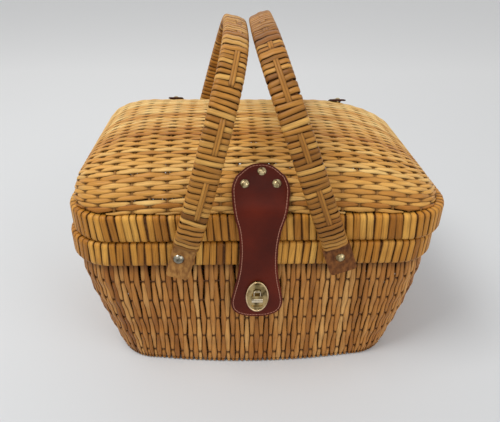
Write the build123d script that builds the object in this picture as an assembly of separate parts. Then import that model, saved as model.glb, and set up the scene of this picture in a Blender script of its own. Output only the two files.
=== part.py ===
from build123d import *
import math
import os

# Picnic basket of split willow: a tapered woven body with a wrapped rim, a domed woven lid with
# a wrapped rim, two bentwood carrying handles, a leather closing strap with a turn lock, and two
# leather hinge straps at the back. X is to the right, Y to the back, Z up. The origin is the
# middle of the underside. All sizes are millimetres.

# Gaps between pieces that touch, and the length of a cut that passes right through
FIT = 0.05
LOOSE = 0.25
RIVET_FIT = 0.06
THROUGH = 400.0

# Body
BASE_HALF_W = 168.5
BASE_HALF_D = 128.0
BODY_HALF_W = 196.0
BODY_HALF_D = 133.0
BELLY_W = 4.2
BELLY_D = 1.0
WALL_BANDS = 5
WALL_SWELL = 1.3
BODY_CORNER = 50.0
WALL = 5.0
FOOT_ROUND = 4.0
FOOT_LIP = 18.0
FOOT_H = 4.0
BASE_PANEL_T = 4.0
HOOP_FIRST_Z = 15.5
HOOP_PITCH = 27.0
HOOP_COUNT = 5
HOOP_T = 3.0
HOOP_H = 4.0

# Rims: a willow hoop wrapped in split cane, one on the body and one on the lid. The hoops were
# bent by hand, so the body's one reaches further to the left and the lid's one to the right.
RIM_BOTTOM_Z = 147.5
RIM_TOP_Z = 176.0
RIM_LEFT = 203.0
RIM_RIGHT = 198.0
RIM_HALF_D = 136.0
RIM_T = 12.0
RIM_WRAP_T = 1.8
RIM_CORNER = 50.0
LID_RIM_BOTTOM_Z = 178.2
LID_RIM_TOP_Z = 208.5
LID_LEFT = 199.0
LID_RIGHT = 203.0
LID_HALF_D = 137.0

# Domed lid, set out by level lines: rounded rectangles that shrink as the dome rises. The dome
# was bent by hand, so its left end stays square to the top and its right end is rounder. Each
# end has its reach, a power and a root for its slope, and a share and a power for its corners.
DOME_HALF_D = 134.0
DOME_RISE = 58.0
DOME_T = 4.5
DOME_CORNER = 48.0
DOME_LEFT = (194.5, 5.94, 0.526, 0.31, 0.54)
DOME_RIGHT = (195.5, 2.77, 0.58, 0.49, 0.68)
DOME_FRONT_POWER = 2.97
DOME_FRONT_ROOT = 0.554
DOME_LEVELS = (0.0, 0.1, 0.25, 0.42, 0.58, 0.72, 0.83, 0.91, 0.955, 0.982, 0.996)
STAKE_COUNT = 28
STAKE_REACH = 165.0
RIDGE_W = 7.0
RIDGE_H = 1.2
RIB_X = (-135.0, -82.0, -27.0, 27.0, 82.0, 135.0)
RIB_W = 4.0
RIB_T = 3.0
RIB_GAP = 1.4
RIB_SHORT = 4.0

# Handles: flat bent cane arches, wrapped and laced, each turning on two bolts. The two were bent
# and drilled by hand, so they differ in height, lean, feet, bolts and how far the bolts sit from
# the middle of the legs.
PIVOT_X = {"left": -82.3, "right": 83.7}
PIVOT_Z = 164.2
LEAN = {"left": 15.8, "right": -20.6}
HANDLE_H = {"left": 213.3, "right": 222.2}
OFF_BOLT = {"left": 3.5, "right": -0.9}
FOOT_W = {"left": 24.0, "right": 29.0}
FOOT_DROP = {"left": 23.5, "right": 19.5}
HANDLE_T = 11.0
HANDLE_W = 27.0
HANDLE_POWER = 3.3
CORE_T = 6.0
CORE_W = 21.0
CORE_JOINT = 6.0
FOOT_ROUNDING = 4.0
FOOT_INNER_Y = 140.5
LEG_INNER_Y = 147.0
FLARE_FROM = 4.0
FLARE_TO = 44.0
WRAP_FROM = 14.0
LACING_W = 6.0
LACING_T = 1.4
LACING_GAP = 0.2
LACING_FROM = 26.0
BOLT_R = 2.5
HOLE_R = 2.58
BOLT_HEAD_R = {"left": 5.6, "right": 4.9}
BOLT_HEAD_H = 3.2
BOLT_END = 6.0
SPACER_R = 8.0
WASHER_R = 6.5
WASHER_T = 1.0
NUT_R = 4.6
NUT_H = 3.4

# Leather closing strap with its turn lock
STRAP_T = 3.0
STRAP_GAP = 0.5
STRAP_TOP_Y = -102.0
STRAP_FACE_Y = -137.8
STRAP_SPLIT_Z = 178.0
STRAP_SKEW = 0.015
STRAP_MID_Z = 170.0
STRAP_SLOPE_Y = (-108.0, -114.0, -120.0, -125.0, -129.0)
STRAP_SHOULDER = ((2.0, 218.5), (0.2, 211.5), (0.0, 205.0), (0.0, 196.0))
STRAP_BLOCK_Z = 70.0
RIVET_PLACES = ((1.3, -111.3), (-15.8, -120.8), (15.8, -120.8))
RIVET_R = 4.7
RIVET_H = 2.8
RIVET_SHANK_R = 1.6
BURR_R = 4.5
BURR_T = 1.0
BURR_GAP = 1.2
LOCK_Z = 110.6
LOCK_HALF_W = 12.5
LOCK_HALF_H = 20.5
LOCK_T = 2.2
LOCK_EDGE = 1.2
RECESS_W = 12.8
RECESS_H = 25.0
RECESS_DEPTH = 1.0
BACK_PLATE_T = 0.6
SPINDLE_R = 2.0
TONGUE_W = 4.4
TONGUE_H = 9.0
TONGUE_T = 1.5
TONGUE_GAP = 0.3
THUMB_W = 11.6
THUMB_T = 4.6
THUMB_H = 2.6
THUMB_SINK = 0.9
KEEPER_Y = -135.0
KEEPER_T = 1.0
KEEPER_W = 26.0
KEEPER_H = 38.0
KEEPER_PIN_X = 9.5
KEEPER_PIN_Z = 14.5
KEEPER_PIN_R = 0.8
KEEPER_PIN_HEAD = (2.0, 0.6)
SLOT_W = 5.2
SLOT_H = 18.0
SLOT_RISE = 3.8
POCKET_W = 12.0

# Leather hinge straps at the back
LEFT_HINGE_X = -100.0
RIGHT_HINGE_X = 117.0
HINGE_W = 18.0
HINGE_T = 2.0
HINGE_TOP_Y = 82.0
HINGE_SLOPE_Y = (133.2, 128.0, 122.0, 114.0, 105.0, 94.0)
HINGE_LOW_Z = 151.0
HINGE_STEP_Z = 169.0
HINGE_SPLIT_Z = 191.0
HINGE_NAIL_Z = (155.5, 165.0)
HINGE_RIVET_Y = (91.0, 107.0)
HINGE_PIN_R = 1.2
HINGE_NAIL_L = 12.0
HINGE_NAIL_HEAD = (3.2, 1.0)
HINGE_RIVET_HEAD = (3.6, 1.6)
HINGE_RIVET_END = 5.0


def rounded(half_w, half_d, corner, z):
    """A rounded rectangle, centred on the Z axis, at height z."""
    return Plane.XY.offset(z) * RectangleRounded(2 * half_w, 2 * half_d, corner)


def ring(half_w, half_d, corner, width, z_low, z_high):
    """A flat hoop of the given radial width between two heights."""
    outer = extrude(rounded(half_w, half_d, corner, z_low), z_high - z_low)
    inner = extrude(rounded(half_w - width, half_d - width, corner - width, z_low), z_high - z_low)
    return outer - inner


def belly(part):
    """Half width and half depth of the wall at a part of its height, from 0 to 1."""
    bow = 4 * part * (1 - part)
    half_w = BASE_HALF_W + (BODY_HALF_W - BASE_HALF_W) * part + BELLY_W * bow
    half_d = BASE_HALF_D + (BODY_HALF_D - BASE_HALF_D) * part + BELLY_D * bow
    return half_w, half_d


def wall_half(z, inset=0.0):
    """Half width and half depth of the bellied wall at height z, moved in by inset.

    The wall is straight between WALL_BANDS even levels, so the value is read along those chords.
    """
    place = WALL_BANDS * z / RIM_BOTTOM_Z
    band = min(max(int(place), 0), WALL_BANDS - 1)
    low = belly(band / WALL_BANDS)
    high = belly((band + 1) / WALL_BANDS)
    half_w, half_d = [a + (b - a) * (place - band) for a, b in zip(low, high)]
    return half_w - inset, half_d - inset


def tub(inset, z_low, z_high):
    """The block inside the wall's outer face, moved in by inset."""
    levels = [RIM_BOTTOM_Z * i / WALL_BANDS for i in range(1, WALL_BANDS)]
    levels = [z_low] + [z for z in levels if z_low < z < z_high] + [z_high]
    return loft([rounded(*wall_half(z, inset), BODY_CORNER - inset, z) for z in levels], ruled=True)


def swelled_wall():
    """The block inside the wall's outer face, which swells out over each hoop."""
    crowns = [HOOP_FIRST_Z + HOOP_PITCH * i for i in range(HOOP_COUNT)]
    top = RIM_BOTTOM_Z - 2 * FIT
    levels = [(0.0, 0.0)]
    for z in crowns:
        levels += [(z, 0.0), (z + HOOP_PITCH / 2, WALL_SWELL)]
    levels.append((top, WALL_SWELL))
    return loft([rounded(*wall_half(z, dip), BODY_CORNER - dip, z) for z, dip in levels], ruled=True)


def level_line(level, end, inset=0.0):
    """Reach in X, half depth and corner radius of one end of the dome at a level from 0 to 1."""
    base_reach, power, root, top_corner, corner_power = end
    reach = base_reach * (1 - level ** (1 / root)) ** (1 / power)
    half_d = DOME_HALF_D * (1 - level ** (1 / DOME_FRONT_ROOT)) ** (1 / DOME_FRONT_POWER)
    corner = DOME_CORNER + (top_corner * half_d - DOME_CORNER) * level ** corner_power
    return reach - inset, half_d - inset, corner - inset


def level_outline(level, inset, z):
    """The dome's outline at a level, each end with its own corners, at height z."""
    left, half_d, left_corner = level_line(level, DOME_LEFT, inset)
    right, _, right_corner = level_line(level, DOME_RIGHT, inset)
    outline = Pos((right - left) / 2, 0) * Rectangle(left + right, 2 * half_d)
    outline = fillet(outline.vertices().sort_by(Axis.X)[:2], left_corner)
    outline = fillet(outline.vertices().sort_by(Axis.X)[-2:], right_corner)
    return Plane.XY.offset(z) * outline


def dome_block(inset):
    """The solid dome, moved in and down by inset."""
    sections = []
    for level in DOME_LEVELS:
        z = LID_RIM_TOP_Z + level * (DOME_RISE - inset)
        sections.append(level_outline(level, inset, z))
    return loft(sections)


def stake_places():
    """X of the stakes that lift the weave, evenly spaced over the dome from end to end."""
    levels = [i / 400 for i in range(401)]
    left = [(-level_line(level, DOME_LEFT)[0], DOME_RISE * level) for level in levels]
    right = [(level_line(level, DOME_RIGHT)[0], DOME_RISE * level) for level in reversed(levels)]
    places = even_points(left + right[1:], 2 * STAKE_COUNT + 1)[1::2]
    return [x for x, _ in places if abs(x) < STAKE_REACH]


def weave_valleys():
    """The space between the ridges that the stakes raise on the lid."""
    stakes = stake_places()
    strips = []
    for a, b in zip(stakes, stakes[1:]):
        strips.append(Pos((a + b) / 2, 0, LID_RIM_TOP_Z) * Box(b - a - RIDGE_W, THROUGH, THROUGH))
    return (Part() + strips) - dome_block(RIDGE_H)


def dome_height(x, y, inset=0.0):
    """Height of the dome above a point, found by halving between two levels."""
    low, high = 0.0, 1.0
    end = DOME_LEFT if x < 0 else DOME_RIGHT
    for _ in range(30):
        level = (low + high) / 2
        half_w, half_d, corner = level_line(level, end, inset)
        over_x = abs(x) - (half_w - corner)
        over_y = abs(y) - (half_d - corner)
        if over_x > 0 and over_y > 0:
            inside = math.hypot(over_x, over_y) < corner
        else:
            inside = over_x < corner and over_y < corner
        low, high = (level, high) if inside else (low, level)
    return LID_RIM_TOP_Z + low * (DOME_RISE - inset)


def slope_normal(x, y):
    """Outward direction of the dome, in the YZ plane, above a point."""
    step = 0.5
    rise = dome_height(x, y + step) - dome_height(x, y - step)
    return Vector(0, -rise, 2 * step).normalized()


def surface_point(x, y, lift):
    """A point lifted off the dome along its outward direction."""
    return Vector(x, y, dome_height(x, y)) + slope_normal(x, y) * lift


def even_points(points, count):
    """Points at even distances along a fine run of points."""
    lengths = [0.0]
    for a, b in zip(points, points[1:]):
        lengths.append(lengths[-1] + math.dist(a, b))
    result = []
    index = 0
    for i in range(count):
        target = lengths[-1] * i / (count - 1)
        while index < len(points) - 2 and lengths[index + 1] < target:
            index += 1
        part = (target - lengths[index]) / (lengths[index + 1] - lengths[index])
        a, b = points[index], points[index + 1]
        result.append((a[0] + (b[0] - a[0]) * part, a[1] + (b[1] - a[1]) * part))
    return result


def arch_line(handle_h, offset, from_height):
    """One side of the handle seen along X: from the front leg over the crown to the back leg.

    offset moves the line outwards from the middle of the handle's thickness.
    """
    leg_y = LEG_INNER_Y + HANDLE_T / 2
    foot_y = FOOT_INNER_Y + CORE_T / 2
    crown = handle_h - HANDLE_T / 2
    fine = []
    for i in range(721):
        angle = math.pi * i / 720
        across = abs(math.cos(angle)) ** (2 / HANDLE_POWER)
        up = abs(math.sin(angle)) ** (2 / HANDLE_POWER) * crown
        part = min(1.0, max(0.0, (up - FLARE_FROM) / (FLARE_TO - FLARE_FROM)))
        flare = (leg_y - foot_y) * (1 - part * part * (3 - 2 * part))
        side = -1 if angle < math.pi / 2 else 1
        fine.append((side * (across * leg_y - flare), up))
    middle = even_points(fine, 1201)
    moved = []
    for a, b in zip(middle, middle[1:]):
        run = math.dist(a, b)
        step_y, step_z = (b[0] - a[0]) / run, (b[1] - a[1]) / run
        moved.append(((a[0] + b[0]) / 2 - step_z * offset, (a[1] + b[1]) / 2 + step_y * offset))
    kept = [p for p in moved if p[1] >= from_height]
    return even_points(kept, 41)


def arch_band(handle_h, inner_offset, outer_offset, width, from_height):
    """A bent strip between two offsets of the handle's line, as wide as width along X."""
    outer = [(0, y, z) for y, z in arch_line(handle_h, outer_offset, from_height)]
    inner = [(0, y, z) for y, z in arch_line(handle_h, inner_offset, from_height)]
    edges = [Spline(*outer), Line(outer[-1], inner[-1]), Spline(*inner), Line(inner[0], outer[0])]
    strip = make_face(edges)
    return extrude(strip, width / 2, dir=(1, 0, 0), both=True)


def foot_tabs(width, drop):
    """The two flat bare feet of a handle core, rounded at their lower ends."""
    tabs = []
    for side in (-1, 1):
        y = side * (FOOT_INNER_Y + CORE_T / 2)
        tab = Pos(0, y, (WRAP_FROM - drop) / 2) * Box(width, CORE_T, drop + WRAP_FROM)
        low_edges = tab.edges().filter_by(Axis.Y).sort_by(Axis.Z)[:2]
        tabs.append(fillet(low_edges, FOOT_ROUNDING))
    return tabs


def bolt_holes():
    """The bores of one handle's two bolts, as one rod along Y."""
    return Rot(90, 0, 0) * Cylinder(HOLE_R, THROUGH)


def place_handle(shape, side):
    """Turn a handle piece from upright to its rest lean and put it on its bolts."""
    turn = Rot(0, LEAN[side], 0) * Pos(OFF_BOLT[side], 0, 0)
    return Pos(PIVOT_X[side], 0, PIVOT_Z) * turn * shape


def handle_pieces(side):
    """Core, wrapping and lacing strand of one handle, at rest."""
    half_core = CORE_T / 2
    half_wrap = HANDLE_T / 2
    tall = HANDLE_H[side]
    core = arch_band(tall, -half_core, half_core, CORE_W, WRAP_FROM - CORE_JOINT)
    for tab in foot_tabs(FOOT_W[side], FOOT_DROP[side]):
        core += tab
    core -= Pos(-OFF_BOLT[side], 0, 0) * bolt_holes()
    sheath = arch_band(tall, -half_wrap, half_wrap, HANDLE_W, WRAP_FROM)
    room = half_core + LOOSE
    sheath -= arch_band(tall, -room, room, CORE_W + 2 * LACING_GAP, WRAP_FROM - CORE_JOINT)
    sheath -= Pos(0, 0, WRAP_FROM + LACING_GAP - THROUGH / 2) * Box(THROUGH, THROUGH, THROUGH)
    lacing = arch_band(tall, half_wrap + LACING_GAP, half_wrap + LACING_T, LACING_W, LACING_FROM)
    return place_handle(core, side), place_handle(sheath, side), place_handle(lacing, side)


def domed_head(radius, height):
    """A low round head, flat side down on the XY plane."""
    ball = (radius * radius + height * height) / (2 * height)
    cap = Pos(0, 0, height - ball) * Sphere(ball)
    return cap & Pos(0, 0, height / 2) * Cylinder(radius, height)


def tube(outer_r, inner_r, height):
    """A washer or sleeve standing on the XY plane."""
    blank = Pos(0, 0, height / 2) * Cylinder(outer_r, height)
    return blank - Pos(0, 0, height / 2) * Cylinder(inner_r, height + 2)


def facing(point, direction):
    """A place whose Z runs along direction, for a fastener seated at point."""
    return Plane(origin=point, x_dir=(1, 0, 0), z_dir=direction).location


def along_y(x, y, z, side):
    """A place whose Z points out of the front (side -1) or the back (side 1)."""
    return facing(Vector(x, y, z), Vector(0, side, 0))


def pivot_fasteners():
    """Bolts, spacers, washers and nuts of the four handle pivots."""
    bolts, spacers, washers, nuts = [], [], [], []
    inside_y = RIM_HALF_D - RIM_T
    head_y = FOOT_INNER_Y + CORE_T + FIT
    shank = head_y - inside_y + BOLT_END
    spacer_h = FOOT_INNER_Y - RIM_HALF_D - 2 * FIT
    washer_y = inside_y - WASHER_T - FIT
    nut_y = washer_y - NUT_H - FIT
    for handle, x in PIVOT_X.items():
        for side in (-1, 1):
            seat = along_y(x, side * head_y, PIVOT_Z, side)
            rod = Pos(0, 0, -shank / 2) * Cylinder(BOLT_R, shank)
            bolts.append(seat * (domed_head(BOLT_HEAD_R[handle], BOLT_HEAD_H) + rod))
            spacer = tube(SPACER_R, HOLE_R, spacer_h)
            spacers.append(along_y(x, side * (RIM_HALF_D + FIT), PIVOT_Z, side) * spacer)
            washer = tube(WASHER_R, HOLE_R, WASHER_T)
            washers.append(along_y(x, side * washer_y, PIVOT_Z, side) * washer)
            nut = extrude(RegularPolygon(NUT_R, 6), NUT_H) - Cylinder(BOLT_R, THROUGH)
            nuts.append(along_y(x, side * nut_y, PIVOT_Z, side) * nut)
    return bolts, spacers, washers, nuts


def strap_profile(lift_inner, lift_outer):
    """The strap seen along X: up the slope of the lid, over its rim and down to the split."""

    def side_line(lift):
        slope = [surface_point(0, y, lift) for y in (STRAP_TOP_Y, *STRAP_SLOPE_Y)]
        face = STRAP_FACE_Y - (lift - lift_inner)
        return slope + [Vector(0, face + back, z) for back, z in STRAP_SHOULDER]

    inner = side_line(lift_inner)
    outer = side_line(lift_outer)
    low_inner = Vector(0, inner[-1].Y, STRAP_SPLIT_Z + STRAP_GAP)
    low_outer = Vector(0, outer[-1].Y, STRAP_SPLIT_Z + STRAP_GAP)
    edges = [
        Spline(*inner),
        Line(inner[-1], low_inner),
        Line(low_inner, low_outer),
        Line(low_outer, outer[-1]),
        Spline(*outer),
        Line(outer[0], inner[0]),
    ]
    return make_face(edges)


def strap_outline():
    """Front view of the whole strap: round head, narrow neck, broad foot."""
    right = [
        (0.0, 251.2), (15.0, 248.6), (25.5, 242.0), (29.0, 232.5), (26.3, 212.0),
        (21.8, 193.0), (19.8, 172.0), (20.3, 150.0), (22.6, 132.0), (25.8, 117.0),
        (28.3, 102.6), (27.4, 90.1), (22.0, 83.4), (11.0, 81.6), (0.0, 81.2),
    ]
    left = [(-x, z) for x, z in reversed(right[1:-1])]
    points = [(x + (z - STRAP_MID_Z) * STRAP_SKEW, 0, z) for x, z in right + left]
    return make_face([Spline(*points, periodic=True)])


def strap_x(z):
    """The middle of the slightly slanting strap at height z."""
    return (z - STRAP_MID_Z) * STRAP_SKEW


def strap_rivet_places():
    """Seats of the three head rivets on the lid: one above, two below."""
    return [(x + strap_x(dome_height(0, y)), y) for x, y in RIVET_PLACES]


def rivet_seat(x, y, lift):
    """A place on the lid's slope, lifted along its outward direction."""
    return facing(surface_point(x, y, lift), slope_normal(x, y))


def rivet_bore(x, y):
    """A hole square to the lid's slope."""
    return rivet_seat(x, y, 0) * Cylinder(RIVET_SHANK_R + RIVET_FIT, 40)


def slope_rivet(x, y, head_lift, radius, height):
    """A domed rivet on the slope, and the burr that it is closed over inside."""
    burr_lift = -DOME_T - BURR_GAP - BURR_T
    shank = head_lift - burr_lift + BURR_T
    rod = Pos(0, 0, -shank / 2) * Cylinder(RIVET_SHANK_R, shank)
    rivet = rivet_seat(x, y, head_lift) * (domed_head(radius, height) + rod)
    burr = rivet_seat(x, y, burr_lift) * tube(BURR_R, RIVET_SHANK_R + RIVET_FIT, BURR_T)
    return rivet, burr


def oval(half_w, half_h, thick):
    """An oval plate lying on the XY plane."""
    return extrude(Ellipse(half_w, half_h), thick)


def spindle_bore():
    """The hole that the lock's spindle turns in, along Z."""
    return Cylinder(SPINDLE_R + RIVET_FIT, 30)


def lock_pieces():
    """Oval plate, back plate and turn piece of the lock, on the strap's foot."""
    x = strap_x(LOCK_Z)
    front_y = STRAP_FACE_Y - STRAP_T
    place = along_y(x, front_y - FIT, LOCK_Z, -1)
    rim = oval(LOCK_HALF_W, LOCK_HALF_H, LOCK_T)
    rim = fillet(rim.edges().group_by(Axis.Z)[-1], LOCK_EDGE)
    recess = Pos(0, -1, LOCK_T - RECESS_DEPTH) * extrude(RectangleRounded(RECESS_W, RECESS_H, 2), LOCK_T)
    plate = place * (rim - recess - spindle_bore())
    back = oval(LOCK_HALF_W - 2, LOCK_HALF_H - 2, BACK_PLATE_T) - spindle_bore()
    back_plate = along_y(x, STRAP_FACE_Y + BACK_PLATE_T + FIT, LOCK_Z, -1) * back
    thumb_z = LOCK_T - THUMB_SINK
    thumb = Pos(0, 0, thumb_z) * extrude(RectangleRounded(THUMB_W, THUMB_T, 1.4), THUMB_H)
    tongue_z = front_y - (KEEPER_Y + TONGUE_GAP + TONGUE_T)
    tongue = Pos(0, 0, tongue_z) * extrude(RectangleRounded(TONGUE_W, TONGUE_H, 1.0), TONGUE_T)
    rod_l = thumb_z + THUMB_H / 2 - tongue_z
    rod = Pos(0, 0, tongue_z + rod_l / 2) * Cylinder(SPINDLE_R, rod_l)
    knob = place * (thumb + rod + tongue)
    return plate, back_plate, knob


def keeper_pieces():
    """Slotted keeper plate, its pad on the wall, and the pins that hold it."""
    x = strap_x(LOCK_Z)
    wall_y = -wall_half(LOCK_Z + KEEPER_H / 2)[1]
    slot = Pos(0, SLOT_RISE, 0) * extrude(RectangleRounded(SLOT_W, SLOT_H, 1.0), 8, both=True)
    pocket = Pos(0, SLOT_RISE, 0) * extrude(RectangleRounded(POCKET_W, SLOT_H + 2, 1.0), 8, both=True)
    pad_t = abs(KEEPER_Y - wall_y) - 2 * FIT
    pad = extrude(RectangleRounded(KEEPER_W, KEEPER_H, 3), pad_t) - pocket
    plate = extrude(RectangleRounded(KEEPER_W, KEEPER_H, 3), KEEPER_T) - slot
    pins = []
    bores = []
    pin_l = pad_t + KEEPER_T
    for dx in (-KEEPER_PIN_X, KEEPER_PIN_X):
        for dz in (-KEEPER_PIN_Z, KEEPER_PIN_Z):
            pin = domed_head(*KEEPER_PIN_HEAD) + Pos(0, 0, -pin_l / 2) * Cylinder(KEEPER_PIN_R, pin_l)
            place = along_y(x + dx, KEEPER_Y - KEEPER_T - FIT, LOCK_Z + dz, -1)
            pins.append(place * pin)
            bores.append(place * Cylinder(KEEPER_PIN_R + RIVET_FIT, 16))
    pad = along_y(x, KEEPER_Y + pad_t + FIT / 2, LOCK_Z, -1) * pad
    plate = along_y(x, KEEPER_Y, LOCK_Z, -1) * plate
    for bore in bores:
        pad -= bore
        plate -= bore
    return pad, plate, pins


def hinge_lower(x):
    """The half of a hinge strap that is fixed to the body's rim."""
    low = RIM_HALF_D + 2 * FIT
    high = LID_HALF_D + LOOSE + 2 * FIT
    inner = [(low, HINGE_LOW_Z), (low, HINGE_STEP_Z), (high, RIM_TOP_Z + 2), (high, HINGE_SPLIT_Z)]
    inner = [(0, y, z) for y, z in inner]
    outer = [(0, y + HINGE_T, z) for _, y, z in reversed(inner)]
    leaf = extrude(make_face(Polyline(*inner, *outer, close=True)), HINGE_W / 2, dir=(1, 0, 0), both=True)
    return Pos(x, 0, 0) * leaf


def hinge_near(x):
    """X of a hinge strap's edge nearer to the lid's middle, where the dome is higher."""
    return x - math.copysign(HINGE_W / 2, x)


def hinge_upper(x):
    """The half of a hinge strap that is fixed to the back slope of the lid."""
    near = hinge_near(x)
    across = (*HINGE_SLOPE_Y, HINGE_TOP_Y)
    inner = [surface_point(near, y, STRAP_GAP) for y in across]
    outer = [surface_point(near, y, STRAP_GAP + HINGE_T) for y in across]
    inner = [Vector(0, p.Y, p.Z) for p in inner]
    outer = [Vector(0, p.Y, p.Z) for p in outer]
    edges = [Spline(*inner), Line(inner[-1], outer[-1]), Spline(*outer), Line(outer[0], inner[0])]
    leaf = extrude(make_face(edges), HINGE_W / 2, dir=(1, 0, 0), both=True)
    return Pos(x, 0, 0) * leaf


def lid_rib(x):
    """One bent rod under the dome, from the front rim to the back rim."""
    reach = level_line(0.0, DOME_LEFT, DOME_T)[1] - RIB_SHORT
    outer_edge = x + math.copysign(RIB_W / 2, x)
    upper, lower = [], []
    for i in range(13):
        y = -reach + 2 * reach * i / 12
        z = dome_height(outer_edge, y, DOME_T) - RIB_GAP
        upper.append((0, y, z))
        lower.append((0, y * (1 - RIB_T / reach), z - RIB_T))
    edges = [Spline(*upper), Line(upper[-1], lower[-1]), Spline(*lower), Line(lower[0], upper[0])]
    rod = extrude(make_face(edges), RIB_W / 2, dir=(1, 0, 0), both=True)
    return Pos(x, 0, 0) * rod


def make_body():
    """The fixed pieces: base, woven wall, hoops and rim."""
    wall = fillet(swelled_wall().faces().sort_by(Axis.Z)[0].edges(), FOOT_ROUND)
    wall -= tub(WALL, FOOT_H, RIM_BOTTOM_Z + 5)
    mouth_w, mouth_d = wall_half(0, FOOT_LIP)
    wall -= extrude(rounded(mouth_w, mouth_d, BODY_CORNER - FOOT_LIP, -1), FOOT_H + 2)
    panel_w, panel_d = wall_half(FOOT_H, WALL + 2 * LOOSE)
    panel = extrude(rounded(panel_w, panel_d, BODY_CORNER - WALL, FOOT_H + FIT), BASE_PANEL_T)
    hoops = []
    for i in range(HOOP_COUNT):
        z = HOOP_FIRST_Z + HOOP_PITCH * i
        half_w, half_d = wall_half(z - HOOP_H / 2, WALL + 2 * FIT)
        hoops.append(ring(half_w, half_d, BODY_CORNER - WALL, HOOP_T, z - HOOP_H / 2, z + HOOP_H / 2))
    return wall, panel, hoops


def make_rim(left, right, half_d, z_low, z_high):
    """A rim hoop and the cane sheath wrapped round it, reaching to left and right of the middle."""
    t = RIM_WRAP_T
    half_w = (left + right) / 2
    middle = Pos((right - left) / 2, 0, 0)
    hoop = ring(half_w - t, half_d - t, RIM_CORNER - t, RIM_T - 2 * t, z_low + t, z_high - t)
    sheath = ring(half_w, half_d, RIM_CORNER, RIM_T, z_low, z_high)
    room = t - FIT
    space = ring(half_w - room, half_d - room, RIM_CORNER - t, RIM_T - 2 * room, z_low + room, z_high - room)
    return middle * hoop, middle * (sheath - space)


def build():
    """Every sub-part by name, at rest."""
    nodes = {}
    wall, panel, hoops = make_body()
    rim_hoop, rim_wrap = make_rim(RIM_LEFT, RIM_RIGHT, RIM_HALF_D, RIM_BOTTOM_Z, RIM_TOP_Z)
    for x in PIVOT_X.values():
        holes = Pos(x, 0, PIVOT_Z) * bolt_holes()
        rim_hoop -= holes
        rim_wrap -= holes

    pad, keeper, pins = keeper_pieces()

    lid_hoop, lid_wrap = make_rim(LID_LEFT, LID_RIGHT, LID_HALF_D, LID_RIM_BOTTOM_Z, LID_RIM_TOP_Z)
    dome = dome_block(0) - dome_block(DOME_T) - weave_valleys()

    outline = extrude(strap_outline(), THROUGH, dir=(0, 1, 0), both=True)
    strip = extrude(strap_profile(STRAP_GAP, STRAP_GAP + STRAP_T), THROUGH, dir=(1, 0, 0), both=True)
    strap_upper = strip & outline
    tail_h = STRAP_SPLIT_Z - STRAP_GAP - STRAP_BLOCK_Z
    tail_place = Pos(0, STRAP_FACE_Y - STRAP_T / 2, STRAP_BLOCK_Z + tail_h / 2)
    strap_tail = (tail_place * Box(THROUGH, STRAP_T, tail_h)) & outline

    rivets, burrs = [], []
    for x, y in strap_rivet_places():
        rivet, burr = slope_rivet(x, y, STRAP_GAP + STRAP_T + 2 * FIT, RIVET_R, RIVET_H)
        rivets.append(rivet)
        burrs.append(burr)
        strap_upper -= rivet_bore(x, y)
        dome -= rivet_bore(x, y)

    plate, back_plate, knob = lock_pieces()
    strap_tail -= along_y(strap_x(LOCK_Z), STRAP_FACE_Y, LOCK_Z, -1) * spindle_bore()

    hinge_rivets, hinge_nails = [], []
    bore = Cylinder(HINGE_PIN_R + RIVET_FIT, 60)
    for x, name in ((LEFT_HINGE_X, "left"), (RIGHT_HINGE_X, "right")):
        lower, upper = hinge_lower(x), hinge_upper(x)
        for z in HINGE_NAIL_Z:
            seat = along_y(x, RIM_HALF_D + HINGE_T + 3 * FIT, z, 1)
            shank = Pos(0, 0, -HINGE_NAIL_L / 2) * Cylinder(HINGE_PIN_R, HINGE_NAIL_L)
            hinge_nails.append(seat * (domed_head(*HINGE_NAIL_HEAD) + shank))
            lower -= seat * bore
            rim_hoop -= seat * bore
            rim_wrap -= seat * bore
        near = hinge_near(x)
        lift = STRAP_GAP + HINGE_T + 3 * FIT
        for y in HINGE_RIVET_Y:
            point = surface_point(near, y, lift)
            seat = facing(Vector(x, point.Y, point.Z), slope_normal(near, y))
            shank_l = lift + DOME_T + HINGE_RIVET_END
            shank = Pos(0, 0, -shank_l / 2) * Cylinder(HINGE_PIN_R, shank_l)
            hinge_rivets.append(seat * (domed_head(*HINGE_RIVET_HEAD) + shank))
            upper -= seat * bore
            dome -= seat * bore
        nodes[f"{name}_hinge_strap_body_half"] = lower
        nodes[f"{name}_hinge_strap_lid_half"] = upper

    bolts, spacers, washers, nuts = pivot_fasteners()
    nodes.update({
        "base_panel": panel,
        "body_weave": wall,
        "body_hoops": hoops,
        "body_rim_hoop": rim_hoop,
        "body_rim_wrap": rim_wrap,
        "lid_weave": dome,
        "lid_ribs": [lid_rib(x) for x in RIB_X],
        "lid_rim_hoop": lid_hoop,
        "lid_rim_wrap": lid_wrap,
        "strap_upper": strap_upper,
        "strap_tail": strap_tail,
        "strap_rivets": rivets,
        "strap_rivet_burrs": burrs,
        "lock_plate": plate,
        "lock_back_plate": back_plate,
        "lock_turn_piece": knob,
        "keeper_pad": pad,
        "keeper_plate": keeper,
        "keeper_pins": pins,
        "hinge_rim_nails": hinge_nails,
        "hinge_lid_rivets": hinge_rivets,
        "handle_bolts": bolts,
        "handle_spacers": spacers,
        "handle_washers": washers,
        "handle_nuts": nuts,
    })
    for side in PIVOT_X:
        core, sheath, lacing = handle_pieces(side)
        nodes[f"{side}_handle_core"] = core
        nodes[f"{side}_handle_wrap"] = sheath
        nodes[f"{side}_handle_lacing"] = lacing
    return nodes


os.makedirs("parts", exist_ok=True)
for name, shape in build().items():
    if isinstance(shape, list):
        shape = Compound(children=[Part() + piece for piece in shape])
    export_step(shape, f"parts/{name}.step")
    print(name, round(shape.volume), "mm3")
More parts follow.
